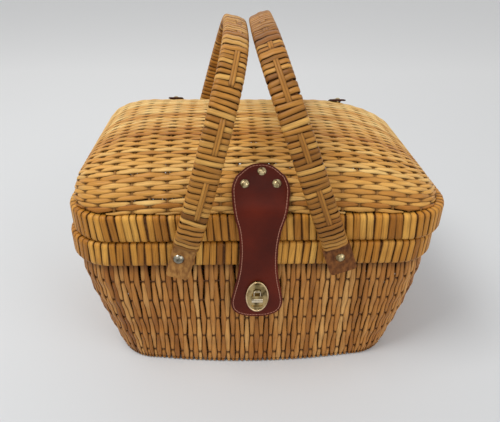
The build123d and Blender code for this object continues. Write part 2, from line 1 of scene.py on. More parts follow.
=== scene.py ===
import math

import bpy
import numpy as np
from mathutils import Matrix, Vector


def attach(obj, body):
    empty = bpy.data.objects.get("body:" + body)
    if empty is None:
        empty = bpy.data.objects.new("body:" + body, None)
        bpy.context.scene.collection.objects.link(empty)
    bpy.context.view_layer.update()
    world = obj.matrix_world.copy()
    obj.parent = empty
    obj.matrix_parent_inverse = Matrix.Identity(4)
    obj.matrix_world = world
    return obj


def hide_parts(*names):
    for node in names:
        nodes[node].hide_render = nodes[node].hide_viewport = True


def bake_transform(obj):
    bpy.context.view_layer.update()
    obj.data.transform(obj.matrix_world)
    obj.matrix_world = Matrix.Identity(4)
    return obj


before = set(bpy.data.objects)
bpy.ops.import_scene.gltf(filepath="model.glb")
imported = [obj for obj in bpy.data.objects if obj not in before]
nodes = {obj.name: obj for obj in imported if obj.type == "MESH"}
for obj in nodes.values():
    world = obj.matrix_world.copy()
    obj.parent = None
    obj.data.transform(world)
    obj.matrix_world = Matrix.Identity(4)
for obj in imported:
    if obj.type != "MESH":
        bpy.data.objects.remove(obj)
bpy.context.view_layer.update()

# %% [markdown]
# # A willow picnic basket
# The basket is woven from split willow: upright strands round the body, rows across a domed lid,
# wrapped rims and handles, and a leather strap that closes it. The solid pieces come in already
# at their real places. Each one that is really a weave is hidden, and the strands that it is made
# of are built in its place.

MM = 0.001
rng = np.random.default_rng(11)

# %% [markdown]
# ## Sweeping strands
# Every strand in the basket is a thin strip with a rounded section that follows a line. A curve
# object with a bevel could do that, but it can't change its width freely or carry a value for
# each point. So the strips are swept here with arrays: a line, the outward direction along it,
# and half a width and half a thickness at each point. All strips of one piece go into one mesh.
# Three values ride on the points: tone, a strip's own lightness; painted shade, how deep in a crevice
# or under a neighbour the point lies, which darkens its colour as shade would; and fibre, a place
# along and across the strip, which the wood grain follows.

# %% Small helpers
def unit(v):
    """Vectors brought to length one."""
    return v / np.maximum(np.linalg.norm(v, axis=-1, keepdims=True), 1e-9)


def ease(x):
    """A smooth step from 0 to 1."""
    x = np.clip(x, 0, 1)
    return x * x * (3 - 2 * x)


def lengths_along(line):
    """The length from the start of a line to each of its points."""
    return np.concatenate([[0], np.cumsum(np.linalg.norm(np.diff(line, axis=0), axis=1))])


def read_line(at, run, line):
    """Each coordinate of a line, read at lengths along it."""
    return [np.interp(at, run, column) for column in np.transpose(line)]


def new_store():
    """An empty store for the strips of one piece."""
    return {"co": [], "faces": [], "tone": [], "painted_shade": [], "fibre": [], "count": 0, "strips": 0}


def tube_faces(rings, sides, closed=False, first=0):
    """Faces of a tube from rings of points, with an end face at both ends if it isn't closed."""
    step = np.arange(rings if closed else rings - 1)[:, None]
    a, b = step * sides, (step + 1) % rings * sides
    j = np.arange(sides)
    k = (j + 1) % sides
    faces = (np.stack([a + j, a + k, b + k, b + j], -1).reshape(-1, 4) + first).tolist()
    if not closed:
        faces += [(j[::-1] + first).tolist(), (j + (rings - 1) * sides + first).tolist()]
    return faces


# %% Sweep one strip
FIBRE_SHIFT = 37.0
# Painted shade on every strip: how much its flanks and its underside are darkened.
FLANK_SHADE, UNDERSIDE_SHADE = 0.8, 0.9


def sweep(store, line, out, half_w, half_t, tone=0.5, painted_shade=0.0, closed=False, sides=10, boxy=0.8):
    """Adds one strip to a store. Lengths are millimetres."""
    n = len(line)
    if closed:
        along = np.roll(line, -1, 0) - np.roll(line, 1, 0)
    else:
        along = np.gradient(line, axis=0)
    along = unit(along)
    out = unit(out - along * np.sum(out * along, 1, keepdims=True))
    side = np.cross(out, along)
    angle = 2 * np.pi * np.arange(sides) / sides + np.pi / 2
    across, rise = (np.sign(wave) * np.abs(wave) ** boxy for wave in (np.cos(angle), np.sin(angle)))
    half_w, half_t, tone, painted_shade = (
        np.broadcast_to(value, n)[:, None] for value in (half_w, half_t, tone, painted_shade))
    wide, high = across * half_w, rise * half_t
    co = line[:, None] + side[:, None] * wide[..., None] + out[:, None] * high[..., None]
    length = lengths_along(line) + FIBRE_SHIFT * store["strips"]
    fibre = np.stack([wide, high, np.broadcast_to(length[:, None], wide.shape)], -1)
    # Painted shade: the flanks and the underside of a strip are darkened, as the shade between strips would
    # darken them.
    flank_shade = FLANK_SHADE * np.abs(across) ** 5 * (rise > -0.5) + UNDERSIDE_SHADE * (rise <= -0.5)
    store["faces"] += tube_faces(n, sides, closed, store["count"])
    store["co"].append(co.reshape(-1, 3))
    store["tone"].append(np.broadcast_to(tone, wide.shape).ravel())
    store["painted_shade"].append(np.clip(painted_shade + flank_shade, 0, 1).ravel())
    store["fibre"].append(fibre.reshape(-1, 3))
    store["count"] += n * sides
    store["strips"] += 1


# %% Make and place a piece
def add_object(name, data):
    """A new object in the scene."""
    made = bpy.data.objects.new(name, data)
    bpy.context.scene.collection.objects.link(made)
    return made


def mesh_piece(name, co, faces, material, values=()):
    """A smooth mesh object from points in millimetres, with named values on its points."""
    mesh = bpy.data.meshes.new(name)
    mesh.from_pydata((np.asarray(co) * MM).tolist(), [], faces)
    mesh.polygons.foreach_set("use_smooth", [True] * len(mesh.polygons))
    for key, kind, field, array in values:
        attribute = mesh.attributes.new(key, kind, "POINT")
        attribute.data.foreach_set(field, np.asarray(array, np.float32).ravel())
    mesh.materials.append(material)
    mesh.update()
    return add_object(name, mesh)


def strips_piece(name, store, material):
    """One mesh object from all strips of a store."""
    values = [(key, "FLOAT", "value", np.concatenate(store[key])) for key in ("tone", "painted_shade")]
    values.append(("fibre", "FLOAT_VECTOR", "vector", np.concatenate(store["fibre"]) * MM))
    piece = mesh_piece(name, np.concatenate(store["co"]), store["faces"], material, values)
    print(name, store["strips"], "strips,", len(store["faces"]), "faces")
    return piece


def place(name, store, material, body, slot, *replaced):
    """A piece of strips that rides on a body and may stand for solids. The slot is not used."""
    piece = strips_piece(name, store, material)
    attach(piece, body)
    if replaced:
        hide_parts(*replaced)


# %% [markdown]
# ## Camera
# The photograph looks down on the basket from the front, about 30 degrees above it and less
# than a metre away, so near parts look larger. The place, the tilt and the focal length come
# from matching known points of the basket to the picture. The camera is built from its own
# axes: right, up and back.

# %% Camera
CAMERA_AZIMUTH = -2.724
CAMERA_HEIGHT_ANGLE = 30.301
CAMERA_ROLL = 0.94
CAMERA_DISTANCE = 650.34
CAMERA_AIM = (-3.433, 0.0, 135.052)
FOCAL_PIXELS = 497.63
PICTURE_WIDTH = 500
SENSOR = 36.0

turn, tilt, roll = (math.radians(a) for a in (CAMERA_AZIMUTH, CAMERA_HEIGHT_ANGLE, CAMERA_ROLL))
back = Vector((math.sin(turn) * math.cos(tilt), -math.cos(turn) * math.cos(tilt), math.sin(tilt)))
level = (-back).cross(Vector((0, 0, 1))).normalized()
upright = level.cross(-back)
right = level * math.cos(roll) + upright * math.sin(roll)
up = upright * math.cos(roll) - level * math.sin(roll)
eye = (Vector(CAMERA_AIM) + back * CAMERA_DISTANCE) * MM
lens = bpy.data.cameras.new("camera")
lens.sensor_width = SENSOR
lens.lens = FOCAL_PIXELS / PICTURE_WIDTH * SENSOR
lens.clip_start, lens.clip_end = 0.01, 50
camera = add_object("camera", lens)
camera.matrix_world = Matrix([[right[i], up[i], back[i], eye[i]] for i in range(3)] + [[0, 0, 0, 1]])
bpy.context.scene.camera = camera
print("lens", round(lens.lens, 2), "mm, eye", [round(c, 3) for c in eye])

# %% [markdown]
# ## Willow and cane finishes
# Peeled willow dries to a pale straw colour, and its varnish ages to honey. A strip is never one
# colour: strips differ, and fine streaks run along the grain. Where strips meet, shade is painted
# into the colour. One function makes all of these woods. Tone picks the colour on a ramp, a noise
# stretched along the fibre draws the streaks, a wide noise makes patches, and the painted shade
# pulls the colour towards dark brown. The same streaks give the roughness and a fine bump.

# %% Node helpers
def srgb(r, g, b):
    """A colour from 0 to 255 as a linear colour for a socket."""
    def linear(c):
        c = c / 255
        return c / 12.92 if c <= 0.04045 else ((c + 0.055) / 1.055) ** 2.4
    return (linear(r), linear(g), linear(b), 1.0)


def node(tree, kind, inputs=(), **settings):
    """A node with its fields set, and each input linked to a socket or set to a value."""
    made = tree.nodes.new(kind)
    for key, value in settings.items():
        setattr(made, key, value)
    for key, value in dict(inputs).items():
        if isinstance(value, bpy.types.NodeSocket):
            tree.links.new(value, made.inputs[key])
        else:
            made.inputs[key].default_value = value
    return made


def empty_tree(owner):
    """The node tree of a material or a world, emptied."""
    owner.use_nodes = True
    owner.node_tree.nodes.clear()
    return owner.node_tree


def new_material(name):
    """A material and its empty node tree."""
    material = bpy.data.materials.new(name)
    return material, empty_tree(material)


def surface_shader(tree, inputs):
    """The shader of a material's surface."""
    shader = node(tree, "ShaderNodeBsdfPrincipled", inputs)
    node(tree, "ShaderNodeOutputMaterial", {"Surface": shader.outputs[0]})


def object_place(tree):
    """The place of a point in its own object."""
    return tree.nodes.new("ShaderNodeTexCoord").outputs["Object"]


def noise(tree, where, scale, detail, stretch=None):
    """The value of a noise at a place, which may be stretched first."""
    if stretch:
        where = node(tree, "ShaderNodeMapping", {"Vector": where, "Scale": stretch}).outputs[0]
    inputs = {"Vector": where, "Scale": scale, "Detail": detail}
    return node(tree, "ShaderNodeTexNoise", inputs).outputs[0]


def colour_ramp(tree, factor, stops):
    """The colour that a ramp with these stops gives a factor."""
    ramp = node(tree, "ShaderNodeValToRGB", {0: factor})
    elements = ramp.color_ramp.elements
    while len(elements) < len(stops):
        elements.new(0.5)
    for element, (position, colour) in zip(elements, stops):
        element.position = position
        element.color = srgb(*colour)
    return ramp.outputs[0]


def ranged(tree, value, low, high, start=0.0, end=1.0):
    """A value that runs from start to end, brought to run from low to high."""
    inputs = {"Value": value, "From Min": start, "From Max": end, "To Min": low, "To Max": high}
    return node(tree, "ShaderNodeMapRange", inputs).outputs[0]


def mixed(tree, factor, a, b):
    """The colour between two colours."""
    return node(tree, "ShaderNodeMix", {0: factor, 6: a, 7: b}, data_type="RGBA").outputs[2]


def relief(tree, height, strength, distance):
    """The direction of a surface with a fine bump on it."""
    inputs = {"Height": height, "Strength": strength, "Distance": distance}
    return node(tree, "ShaderNodeBump", inputs).outputs[0]


# %% Wood material
# A dark brown for both the grain streaks and the painted shade.
STREAK_AND_SHADE_BROWN = srgb(52, 24, 8)
GRAIN_STRETCH = (900, 900, 38)
PATCH_SCALE, PATCH_MOST = 26, 0.55
STREAK_MOST = 0.35


def wood_finish(name, dark, middle, pale, patch):
    """Varnished split willow or cane."""
    material, tree = new_material(name)
    tone, fibre, painted_shade = (
        node(tree, "ShaderNodeAttribute", attribute_name=key) for key in ("tone", "fibre", "painted_shade"))
    grain = noise(tree, fibre.outputs["Vector"], 1.0, 4, GRAIN_STRETCH)
    wide = noise(tree, object_place(tree), PATCH_SCALE, 3)
    colour = colour_ramp(tree, tone.outputs["Fac"], [(0.0, dark), (0.5, middle), (1.0, pale)])
    in_patch = ranged(tree, wide, 0.0, PATCH_MOST, start=0.48, end=0.72)
    colour = mixed(tree, in_patch, colour, srgb(*patch))
    in_streak = ranged(tree, grain, 0.0, STREAK_MOST, start=0.42, end=0.68)
    colour = mixed(tree, in_streak, colour, STREAK_AND_SHADE_BROWN)
    surface_shader(tree, {
        # Painted shade: the strip's shade value pulls the base colour towards dark brown.
        "Base Color": mixed(tree, painted_shade.outputs["Fac"], colour, STREAK_AND_SHADE_BROWN),
        "Roughness": ranged(tree, grain, 0.34, 0.6), "Specular IOR Level": 0.22,
        "Normal": relief(tree, grain, 0.5, 0.0005)})
    return material


lid_willow = wood_finish("lid_willow", (178, 116, 46), (222, 166, 84), (246, 208, 134), (204, 140, 56))
body_willow = wood_finish("body_willow", (144, 88, 34), (192, 130, 62), (222, 168, 98), (170, 104, 40))
rim_cane = wood_finish("rim_cane", (148, 90, 24), (204, 139, 50), (238, 182, 88), (178, 112, 34))
handle_cane = wood_finish("handle_cane", (132, 84, 28), (192, 134, 58), (230, 182, 100), (168, 106, 38))
print("woods", [wood.name for wood in (lid_willow, body_willow, rim_cane, handle_cane)])

# %% [markdown]
# ## The woven body
# The wall has upright strands that pass outside one hoop and inside the next. Each strand shows
# as a row of long spindles, and a dark dash, deepened with painted shade, marks the place where it dips
# behind a hoop.
# Neighbouring strands dip at different hoops. The wall could be a flat skin with a pattern
# painted on it, but then its edge against the background would be smooth, so real strands are
# swept. On the flat sides they stand a fixed distance apart, and in the corners they fan out,
# since the basket is wider at the top. Near the rim neighbours lean together in pairs.

# %% Rounded outline
BASE_HALF = (168.5, 128.0)
TOP_HALF = (196.0, 133.0)
BELLY = (4.2, 1.0)
WALL_LEVELS = 5
WALL_TOP = 147.5
BODY_CORNER = 50.0


def walk(s, half_w, half_d, corner):
    """Points and outward directions on a rounded rectangle, s along it from the front middle."""
    quarter = half_w + half_d - 2 * corner + np.pi * corner / 2
    s = np.mod(s, 4 * quarter)
    far = s >= 2 * quarter
    s = np.where(far, s - 2 * quarter, s)
    rear = s > quarter
    s = np.where(rear, 2 * quarter - s, s)
    flat = half_w - corner
    arc = np.clip((s - flat) / corner, 0, np.pi / 2)
    x = np.minimum(s, flat) + corner * np.sin(arc)
    y = -(half_d - corner) - corner * np.cos(arc) + np.maximum(s - flat - np.pi * corner / 2, 0)
    out_x, out_y = np.sin(arc), -np.cos(arc)
    flip_y = np.where(rear, -1, 1) * np.where(far, -1, 1)
    flip_x = np.where(far, -1, 1)
    return np.stack([x * flip_x, y * flip_y], -1), np.stack([out_x * flip_x, out_y * flip_y], -1)


def wall_half(z):
    """Half width and half depth of the wall at height z."""
    levels = np.arange(WALL_LEVELS + 1) / WALL_LEVELS
    bow = 4 * levels * (1 - levels)
    halves = [
        low + (high - low) * levels + belly * bow for low, high, belly in zip(BASE_HALF, TOP_HALF, BELLY)]
    return [np.interp(np.asarray(z, float) / WALL_TOP, levels, half) for half in halves]


# %% Places of the upright strands
# The foot bows out at the middle of the long sides, and the wall is a little fuller at the left
FOOT_BOW, FOOT_BOW_HALF, FOOT_BOW_FALL, FOOT_BOW_TOP, FOOT_BOW_Y = 4.5, 125, 2.2, 110, 100
LEFT_SWELL, SWELL_FROM, SWELL_OVER, SWELL_HALF = 3.5, 45, 80, 150
FRONT_FLAT = 118.5
SIDE_FLAT = 78.0
FRONT_COUNT, CORNER_COUNT, SIDE_COUNT = 21.5, 20, 14
QUARTER_COUNT = FRONT_COUNT + CORNER_COUNT + SIDE_COUNT
STRAND_COUNT = round(4 * QUARTER_COUNT)


def strand_walk(u, z):
    """Where strand u stands at height z, as a length along the outline, and the strand spacing."""
    half_w, half_d = wall_half(z)
    quarter = half_w + half_d - 2 * BODY_CORNER + np.pi * BODY_CORNER / 2
    corner = quarter - FRONT_FLAT - SIDE_FLAT
    turn_no = np.floor(np.mod(u, STRAND_COUNT) / (2 * QUARTER_COUNT))
    v = np.mod(u, 2 * QUARTER_COUNT)
    rear = v > QUARTER_COUNT
    v = np.where(rear, 2 * QUARTER_COUNT - v, v)
    in_front = v < FRONT_COUNT
    in_corner = ~in_front & (v < FRONT_COUNT + CORNER_COUNT)
    front_step, corner_step = FRONT_FLAT / FRONT_COUNT, corner / CORNER_COUNT
    side_step = SIDE_FLAT / SIDE_COUNT
    s = np.where(in_front, v * front_step, np.where(
        in_corner, FRONT_FLAT + (v - FRONT_COUNT) * corner_step,
        FRONT_FLAT + corner + (v - FRONT_COUNT - CORNER_COUNT) * side_step))
    step = np.where(in_front, front_step, np.where(in_corner, corner_step, side_step))
    s = np.where(rear, 2 * quarter - s, s) + 2 * quarter * turn_no
    return s, step


def wall_point(u, z, inset):
    """Points of the wall for strand u, at height z and moved inwards, with the outward direction."""
    s, step = strand_walk(u, z)
    flat, out = walk(s, *wall_half(z), BODY_CORNER)
    xy = flat - out * np.asarray(inset)[..., None]
    low = 1 - ease(z / FOOT_BOW_TOP)
    bow = FOOT_BOW * (1 - FOOT_BOW_FALL * (xy[..., 0] / FOOT_BOW_HALF) ** 2)
    xy[..., 1] += np.clip(bow, -FOOT_BOW, FOOT_BOW) * low * np.clip(xy[..., 1] / FOOT_BOW_Y, -1, 1)
    xy[..., 0] -= LEFT_SWELL * ease((z - SWELL_FROM) / SWELL_OVER) * ease(-xy[..., 0] / SWELL_HALF)
    z = np.broadcast_to(z, xy.shape[:-1])
    return np.concatenate([xy, z[..., None]], -1), out, step


# %% Path of a strand
FOOT_ROUND, FOOT_LIP = 4.0, (18.0, 14.0)
HOOP_FIRST, HOOP_PITCH, HOOP_COUNT = 15.5, 27.0, 5
BELOW_HOOPS, STRAND_TOP = (6.5, 9.0, 12.5), 149
HOOP_Z = HOOP_FIRST + HOOP_PITCH * np.arange(HOOP_COUNT)

bend = np.linspace(0, np.pi / 2, 6)
wall_z = np.concatenate([BELOW_HOOPS, np.arange(HOOP_FIRST, STRAND_TOP, HOOP_PITCH / 10)])
path_inset = np.concatenate([FOOT_LIP, FOOT_ROUND * (1 - np.sin(bend)), np.zeros(len(wall_z))])
path_z = np.concatenate([[0.0, 0.0], FOOT_ROUND * (1 - np.cos(bend)), wall_z])
knots = np.concatenate([[0.0], HOOP_Z, [WALL_TOP]])
print(STRAND_COUNT, "strands over", HOOP_COUNT, "hoops")


def uneven(at, at_knots, amount):
    """A random wave through a few knots."""
    return np.interp(at, at_knots, rng.normal(0, amount, len(at_knots)))


def at_crossings(away, chosen, reach):
    """1 on each chosen crossing, falling to 0 at a reach from it."""
    return (chosen[None] * (1 - ease(away / reach))).max(1)


# %% Weave the body
STRAND_HALF_T = 1.5
DIP_REACH, DIP_DEPTH = 3.6, 2.9
CROWN_REACH, CROWN_SINK = 13.5, 0.4
WALL_SWELL = 1.3
WANDER = 0.085
PAIR_LEAN, LEAN_SPREAD, LEAN_FROM, LEAN_OVER = 0.09, 0.06, 118, 24
TUCK_FROM, TUCK_OVER, TUCK_DEPTH = 134, 12, 1.6
MIDWAY_W, CROWN_W, DIP_W = 0.98, 0.26, 0.17
STRAND_WIDTHS, FOOT_NARROW, FOOT_NARROW_TO = (0.88, 1.06), 0.25, 7
STRAND_TONE, STRAND_TONE_WAVE = (0.5, 0.2), 0.08
# Painted shade: how dark a strand is made where it dips behind a hoop, in the shadow under the rim band,
# and on the foot.
DIP_SHADE, BAND_SHADOW, FOOT_SHADE = 0.9, 0.55, 0.2

store = new_store()
for i in range(STRAND_COUNT):
    inside = np.array([(i + k) % 2 == 0 for k in range(HOOP_COUNT)])
    wander = uneven(path_z, knots, WANDER)
    pair_lean = rng.normal(PAIR_LEAN, LEAN_SPREAD) * (-1) ** i * ease((path_z - LEAN_FROM) / LEAN_OVER)
    surface, out2, step = wall_point(i + wander + pair_lean, path_z, path_inset)
    along = unit(np.gradient(surface, axis=0))
    level_dir = np.concatenate([-out2[:, 1:], out2[:, :1], np.zeros((len(out2), 1))], 1)
    out = unit(np.cross(level_dir, along))
    away = np.abs(path_z[:, None] - HOOP_Z[None])
    dip = at_crossings(away, inside, DIP_REACH)
    crown = at_crossings(away, ~inside, CROWN_REACH)
    narrow = at_crossings(away, inside, CROWN_REACH)
    on_foot = path_z < FOOT_ROUND / 2
    tuck = ease((path_z - TUCK_FROM) / TUCK_OVER)
    swell = np.interp(away.min(1), [0, CROWN_REACH], [0, WALL_SWELL]) * ~on_foot
    depth = STRAND_HALF_T + swell + CROWN_SINK * (1 - crown) + DIP_DEPTH * dip + TUCK_DEPTH * tuck
    depth -= CROWN_SINK * on_foot
    size = rng.uniform(*STRAND_WIDTHS)
    ends = 1 - FOOT_NARROW * (1 - ease(path_z / FOOT_NARROW_TO))
    half_w = 0.5 * step * size * ends * (MIDWAY_W + CROWN_W * crown - DIP_W * narrow)
    tone = np.clip(rng.normal(*STRAND_TONE) + uneven(path_z, knots, STRAND_TONE_WAVE), 0, 1)
    # Painted shade at the dips, under the band and on the foot.
    painted_shade = np.clip(DIP_SHADE * dip ** 2 + BAND_SHADOW * tuck + FOOT_SHADE * on_foot, 0, 1)
    sweep(store, surface - out * depth[:, None], out, half_w, STRAND_HALF_T, tone, painted_shade, boxy=0.95)
place("body_strands", store, body_willow, "body", "willow_weave", "body_weave", "body_hoops")

# %% [markdown]
# The hoops behind the strands are thin rods. They only show in the dashes, and on the inside.
# Their dark colour is painted shade, for they lie in the shadow of the strands.

# %% Hoops
HOOP_R, HOOP_INSET = 1.5, 4.0
store = new_store()
around = np.arange(0, STRAND_COUNT, 0.75)
for z in HOOP_Z:
    points, out2, _ = wall_point(around, np.full(len(around), z), np.full(len(around), HOOP_INSET))
    out = np.concatenate([out2, np.zeros((len(out2), 1))], 1)
    # Painted shade: a dark tone and a high shade value, as the rods lie in the strands' shadow.
    sweep(store, points, out, HOOP_R, HOOP_R, 0.1, 0.72, closed=True, sides=8, boxy=1)
place("body_hoop_rods", store, body_willow, "body", "willow_weave")

# %% [markdown]
# ## Wrapped rims
# Each rim is a hoop with cane strips wound round it side by side. A strip goes up the outside,
# over the top, down the inside and back, and it leans a little, as winding always does. So each
# turn is swept as a closed loop round the rim's section. In the corners the turns fan out.

# %% Wind the rims
RIM_T = 12.0
RIM_SECTION_ROUND = 3.4
WRAP_HALF_T = 0.95
RIM_PITCH, RIM_WIDTHS = 7.45, (0.88, 1.0)
RIM_CORNER = 50.0
RIM_TONE, PITCH_SPREAD, TILT_SPREAD = (0.55, 0.24), 0.05, 0.02


def box_section(width, height, corner, points):
    """A rounded rectangle's points and outward directions, centred on 0, 0."""
    quarter = (width + height) / 2 - 2 * corner + np.pi * corner / 2
    s = 4 * quarter * (np.arange(points) + 0.5) / points
    return walk(s, width / 2, height / 2, corner)


def wind_rim(name, body, solid, reach, half_d, z_low, z_high, lean):
    """Cane turns round one rim, which reaches to the left and right of the middle."""
    store = new_store()
    half_w, shift = (reach[1] + reach[0]) / 2, (reach[1] - reach[0]) / 2
    length = 4 * (half_w + half_d - 2 * RIM_CORNER) + 2 * np.pi * RIM_CORNER
    count = round(length / RIM_PITCH)
    pitch = length / count
    section, section_out = box_section(
        RIM_T - 2 * WRAP_HALF_T, z_high - z_low - 2 * WRAP_HALF_T, RIM_SECTION_ROUND - WRAP_HALF_T, 26)
    for i in range(count):
        tilt_here = lean + rng.normal(0, TILT_SPREAD)
        s = (i + rng.normal(0, PITCH_SPREAD)) * pitch + section[:, 1] * tilt_here
        flat, out2 = walk(s, half_w, half_d, RIM_CORNER)
        inset = RIM_T / 2 - section[:, 0]
        xy = flat - out2 * inset[:, None] + [shift, 0]
        z = (z_low + z_high) / 2 + section[:, 1]
        in_corner = np.abs(out2[:, 0] * out2[:, 1]) > 1e-6
        narrow = np.where(in_corner, (RIM_CORNER - inset) / RIM_CORNER, 1.0)
        out = np.concatenate([out2 * section_out[:, :1], section_out[:, 1:]], 1)
        tone = np.clip(rng.normal(*RIM_TONE), 0, 1)
        half_width = 0.5 * pitch * narrow * rng.uniform(*RIM_WIDTHS)
        sweep(store, np.column_stack([xy, z]), out, half_width, WRAP_HALF_T, tone, closed=True, boxy=0.7)
    place(name, store, rim_cane, body, "split_cane", solid)


wind_rim("body_rim_turns", "body", "body_rim_wrap", (203.0, 198.0), 136.0, 147.5, 176.0, 0.04)
wind_rim("lid_rim_turns", "lid", "lid_rim_wrap", (199.0, 203.0), 137.0, 178.2, 208.5, -0.07)

# %% [markdown]
# ## The domed lid
# The lid is woven the other way: thin stakes run from front to back over the dome, and rows of
# willow cross them from side to side. The dome is set out by level lines, rounded rectangles
# that shrink as they rise. From them a net of points is made, even along the surface, and both
# the stakes and the rows are read from that net, so that they follow the dome everywhere.

# %% Net of the dome
DOME_HALF_D = 134.0
DOME_BASE_Z = 208.5
DOME_RISE = 58.0
DOME_CORNER = 48.0
DOME_LEFT = (194.5, 5.94, 0.526, 0.31, 0.54)
DOME_RIGHT = (195.5, 2.77, 0.58, 0.49, 0.68)
DOME_FRONT = (2.97, 0.554)
NET_ACROSS, NET_ALONG = 241, 221


def level_line(level, end):
    """Reach in X, half depth and corner radius of one end of the dome at a level from 0 to 1."""
    base_reach, power, root, top_corner, corner_power = end
    reach = base_reach * (1 - level ** (1 / root)) ** (1 / power)
    half_d = DOME_HALF_D * (1 - level ** (1 / DOME_FRONT[1])) ** (1 / DOME_FRONT[0])
    corner = DOME_CORNER + (top_corner * half_d - DOME_CORNER) * level ** corner_power
    return reach, half_d, corner


def evenly(points, count):
    """Points at even distances along a fine line."""
    run = lengths_along(points)
    return np.stack(read_line(np.linspace(0, run[-1], count), run, points), 1)


def dome_profile(x):
    """The dome cut from front to back at a distance x from the middle."""
    end = DOME_LEFT if x < 0 else DOME_RIGHT
    top = (1 - min(abs(x) / end[0], 1.0) ** end[1]) ** end[2]
    level = top * (1 - (1 - np.linspace(0, 1, 160)) ** 2.5)
    half_w, half_d, corner = level_line(level, end)
    over = np.clip(abs(x) - (half_w - corner), 0, corner)
    y = half_d - corner + np.sqrt(np.maximum(corner ** 2 - over ** 2, 0))
    z = DOME_BASE_Z + DOME_RISE * level
    front = np.stack([-y, z], 1)
    return np.concatenate([front, front[::-1] * [-1, 1]])


side_level = np.linspace(0, 1, 400)
left_line, right_line = (
    np.stack([sign * level_line(side_level, end)[0], DOME_RISE * side_level], 1)
    for sign, end in ((-1, DOME_LEFT), (1, DOME_RIGHT)))
net_x = evenly(np.concatenate([left_line, right_line[-2::-1]]), NET_ACROSS)[:, 0]
net = np.zeros((NET_ACROSS, NET_ALONG, 3))
for i, x in enumerate(net_x):
    net[i, :, 0] = x
    net[i, :, 1:] = evenly(dome_profile(x), NET_ALONG)
net_out = unit(np.cross(np.gradient(net, axis=0), np.gradient(net, axis=1)))
DOME_WIDTH = np.linalg.norm(np.diff(net[:, NET_ALONG // 2], axis=0), axis=1).sum()
DOME_LENGTH = np.linalg.norm(np.diff(net[NET_ACROSS // 2], axis=0), axis=1).sum()
print("dome", round(DOME_WIDTH), "mm over the top sideways,", round(DOME_LENGTH), "mm from front to back")


def read_net(table, b, a):
    """Values of a table over the net, at places b across and a along, both from 0 to 1."""
    fb = np.clip(b, 0, 1) * (NET_ACROSS - 1)
    fa = np.clip(a, 0, 1) * (NET_ALONG - 1)
    i = np.minimum(fb.astype(int), NET_ACROSS - 2)
    j = np.minimum(fa.astype(int), NET_ALONG - 2)
    p, q = (fb - i)[..., None], (fa - j)[..., None]
    return (
        (table[i, j] * (1 - p) + table[i + 1, j] * p) * (1 - q)
        + (table[i, j + 1] * (1 - p) + table[i + 1, j + 1] * p) * q
    )


# %% Stakes of the lid
STAKE_COUNT = 25
ROW_PITCH = 4.75
STAKE_HALF = (1.7, 1.2)
STAKE_DEPTH = 3.6
row_count = round(DOME_LENGTH / ROW_PITCH)
stake_b = (np.arange(STAKE_COUNT) + 0.5) / STAKE_COUNT
row_step = np.linalg.norm(np.gradient(net, axis=1), axis=2) * (NET_ALONG - 1) / row_count

store = new_store()
along = np.linspace(0, 1, 120)
for b in stake_b:
    drift = b + uneven(along, np.linspace(0, 1, 6), 0.0012)
    out = unit(read_net(net_out, drift, along))
    line = read_net(net, drift, along) - out * STAKE_DEPTH
    # The 0.45 is painted shade, for the stakes lie under the rows.
    sweep(store, line, out, *STAKE_HALF, tone=0.25, painted_shade=0.45, sides=8, boxy=0.9)
place("lid_stakes", store, lid_willow, "lid", "willow_weave")

# %% [markdown]
# The rows pass over one stake and under the next, and the next row does the opposite. Towards the
# ends of the lid they droop, and the lowest ones stop short at uneven places. High on the lid the
# weave is smoother and paler, so the rows dip less there and their tone rises.

# %% Rows of the lid
ROW_HALF_T = 1.35
RIDGE_H, ROW_DIP = 1.2, 1.9
ROW_DRIFT, ROW_DROOP, DROOP_POWER = 0.1, 14.0, 2.5
UPPER_FROM, UPPER_OVER, UPPER_SMOOTH, UPPER_PALE = 0.3, 0.25, 0.55, 0.46
UNDER_REACH, NARROW_REACH, OVER_REACH = 5.0, 10.0, 9.0
ROW_WIDTHS, ROW_MIDWAY_W, ROW_CROWN_W, ROW_DIP_W = (0.93, 1.08), 1.1, 0.2, 0.16
ROW_TONE, ROW_TONE_WAVE = (0.34, 0.2), 0.1
SHORT_ROWS, LEVEL_END, MOST_SHORT = 7, 0.004, 0.05
END_TAPER, EDGE_TAPER, END_WIDTH = 60, 120, 0.4

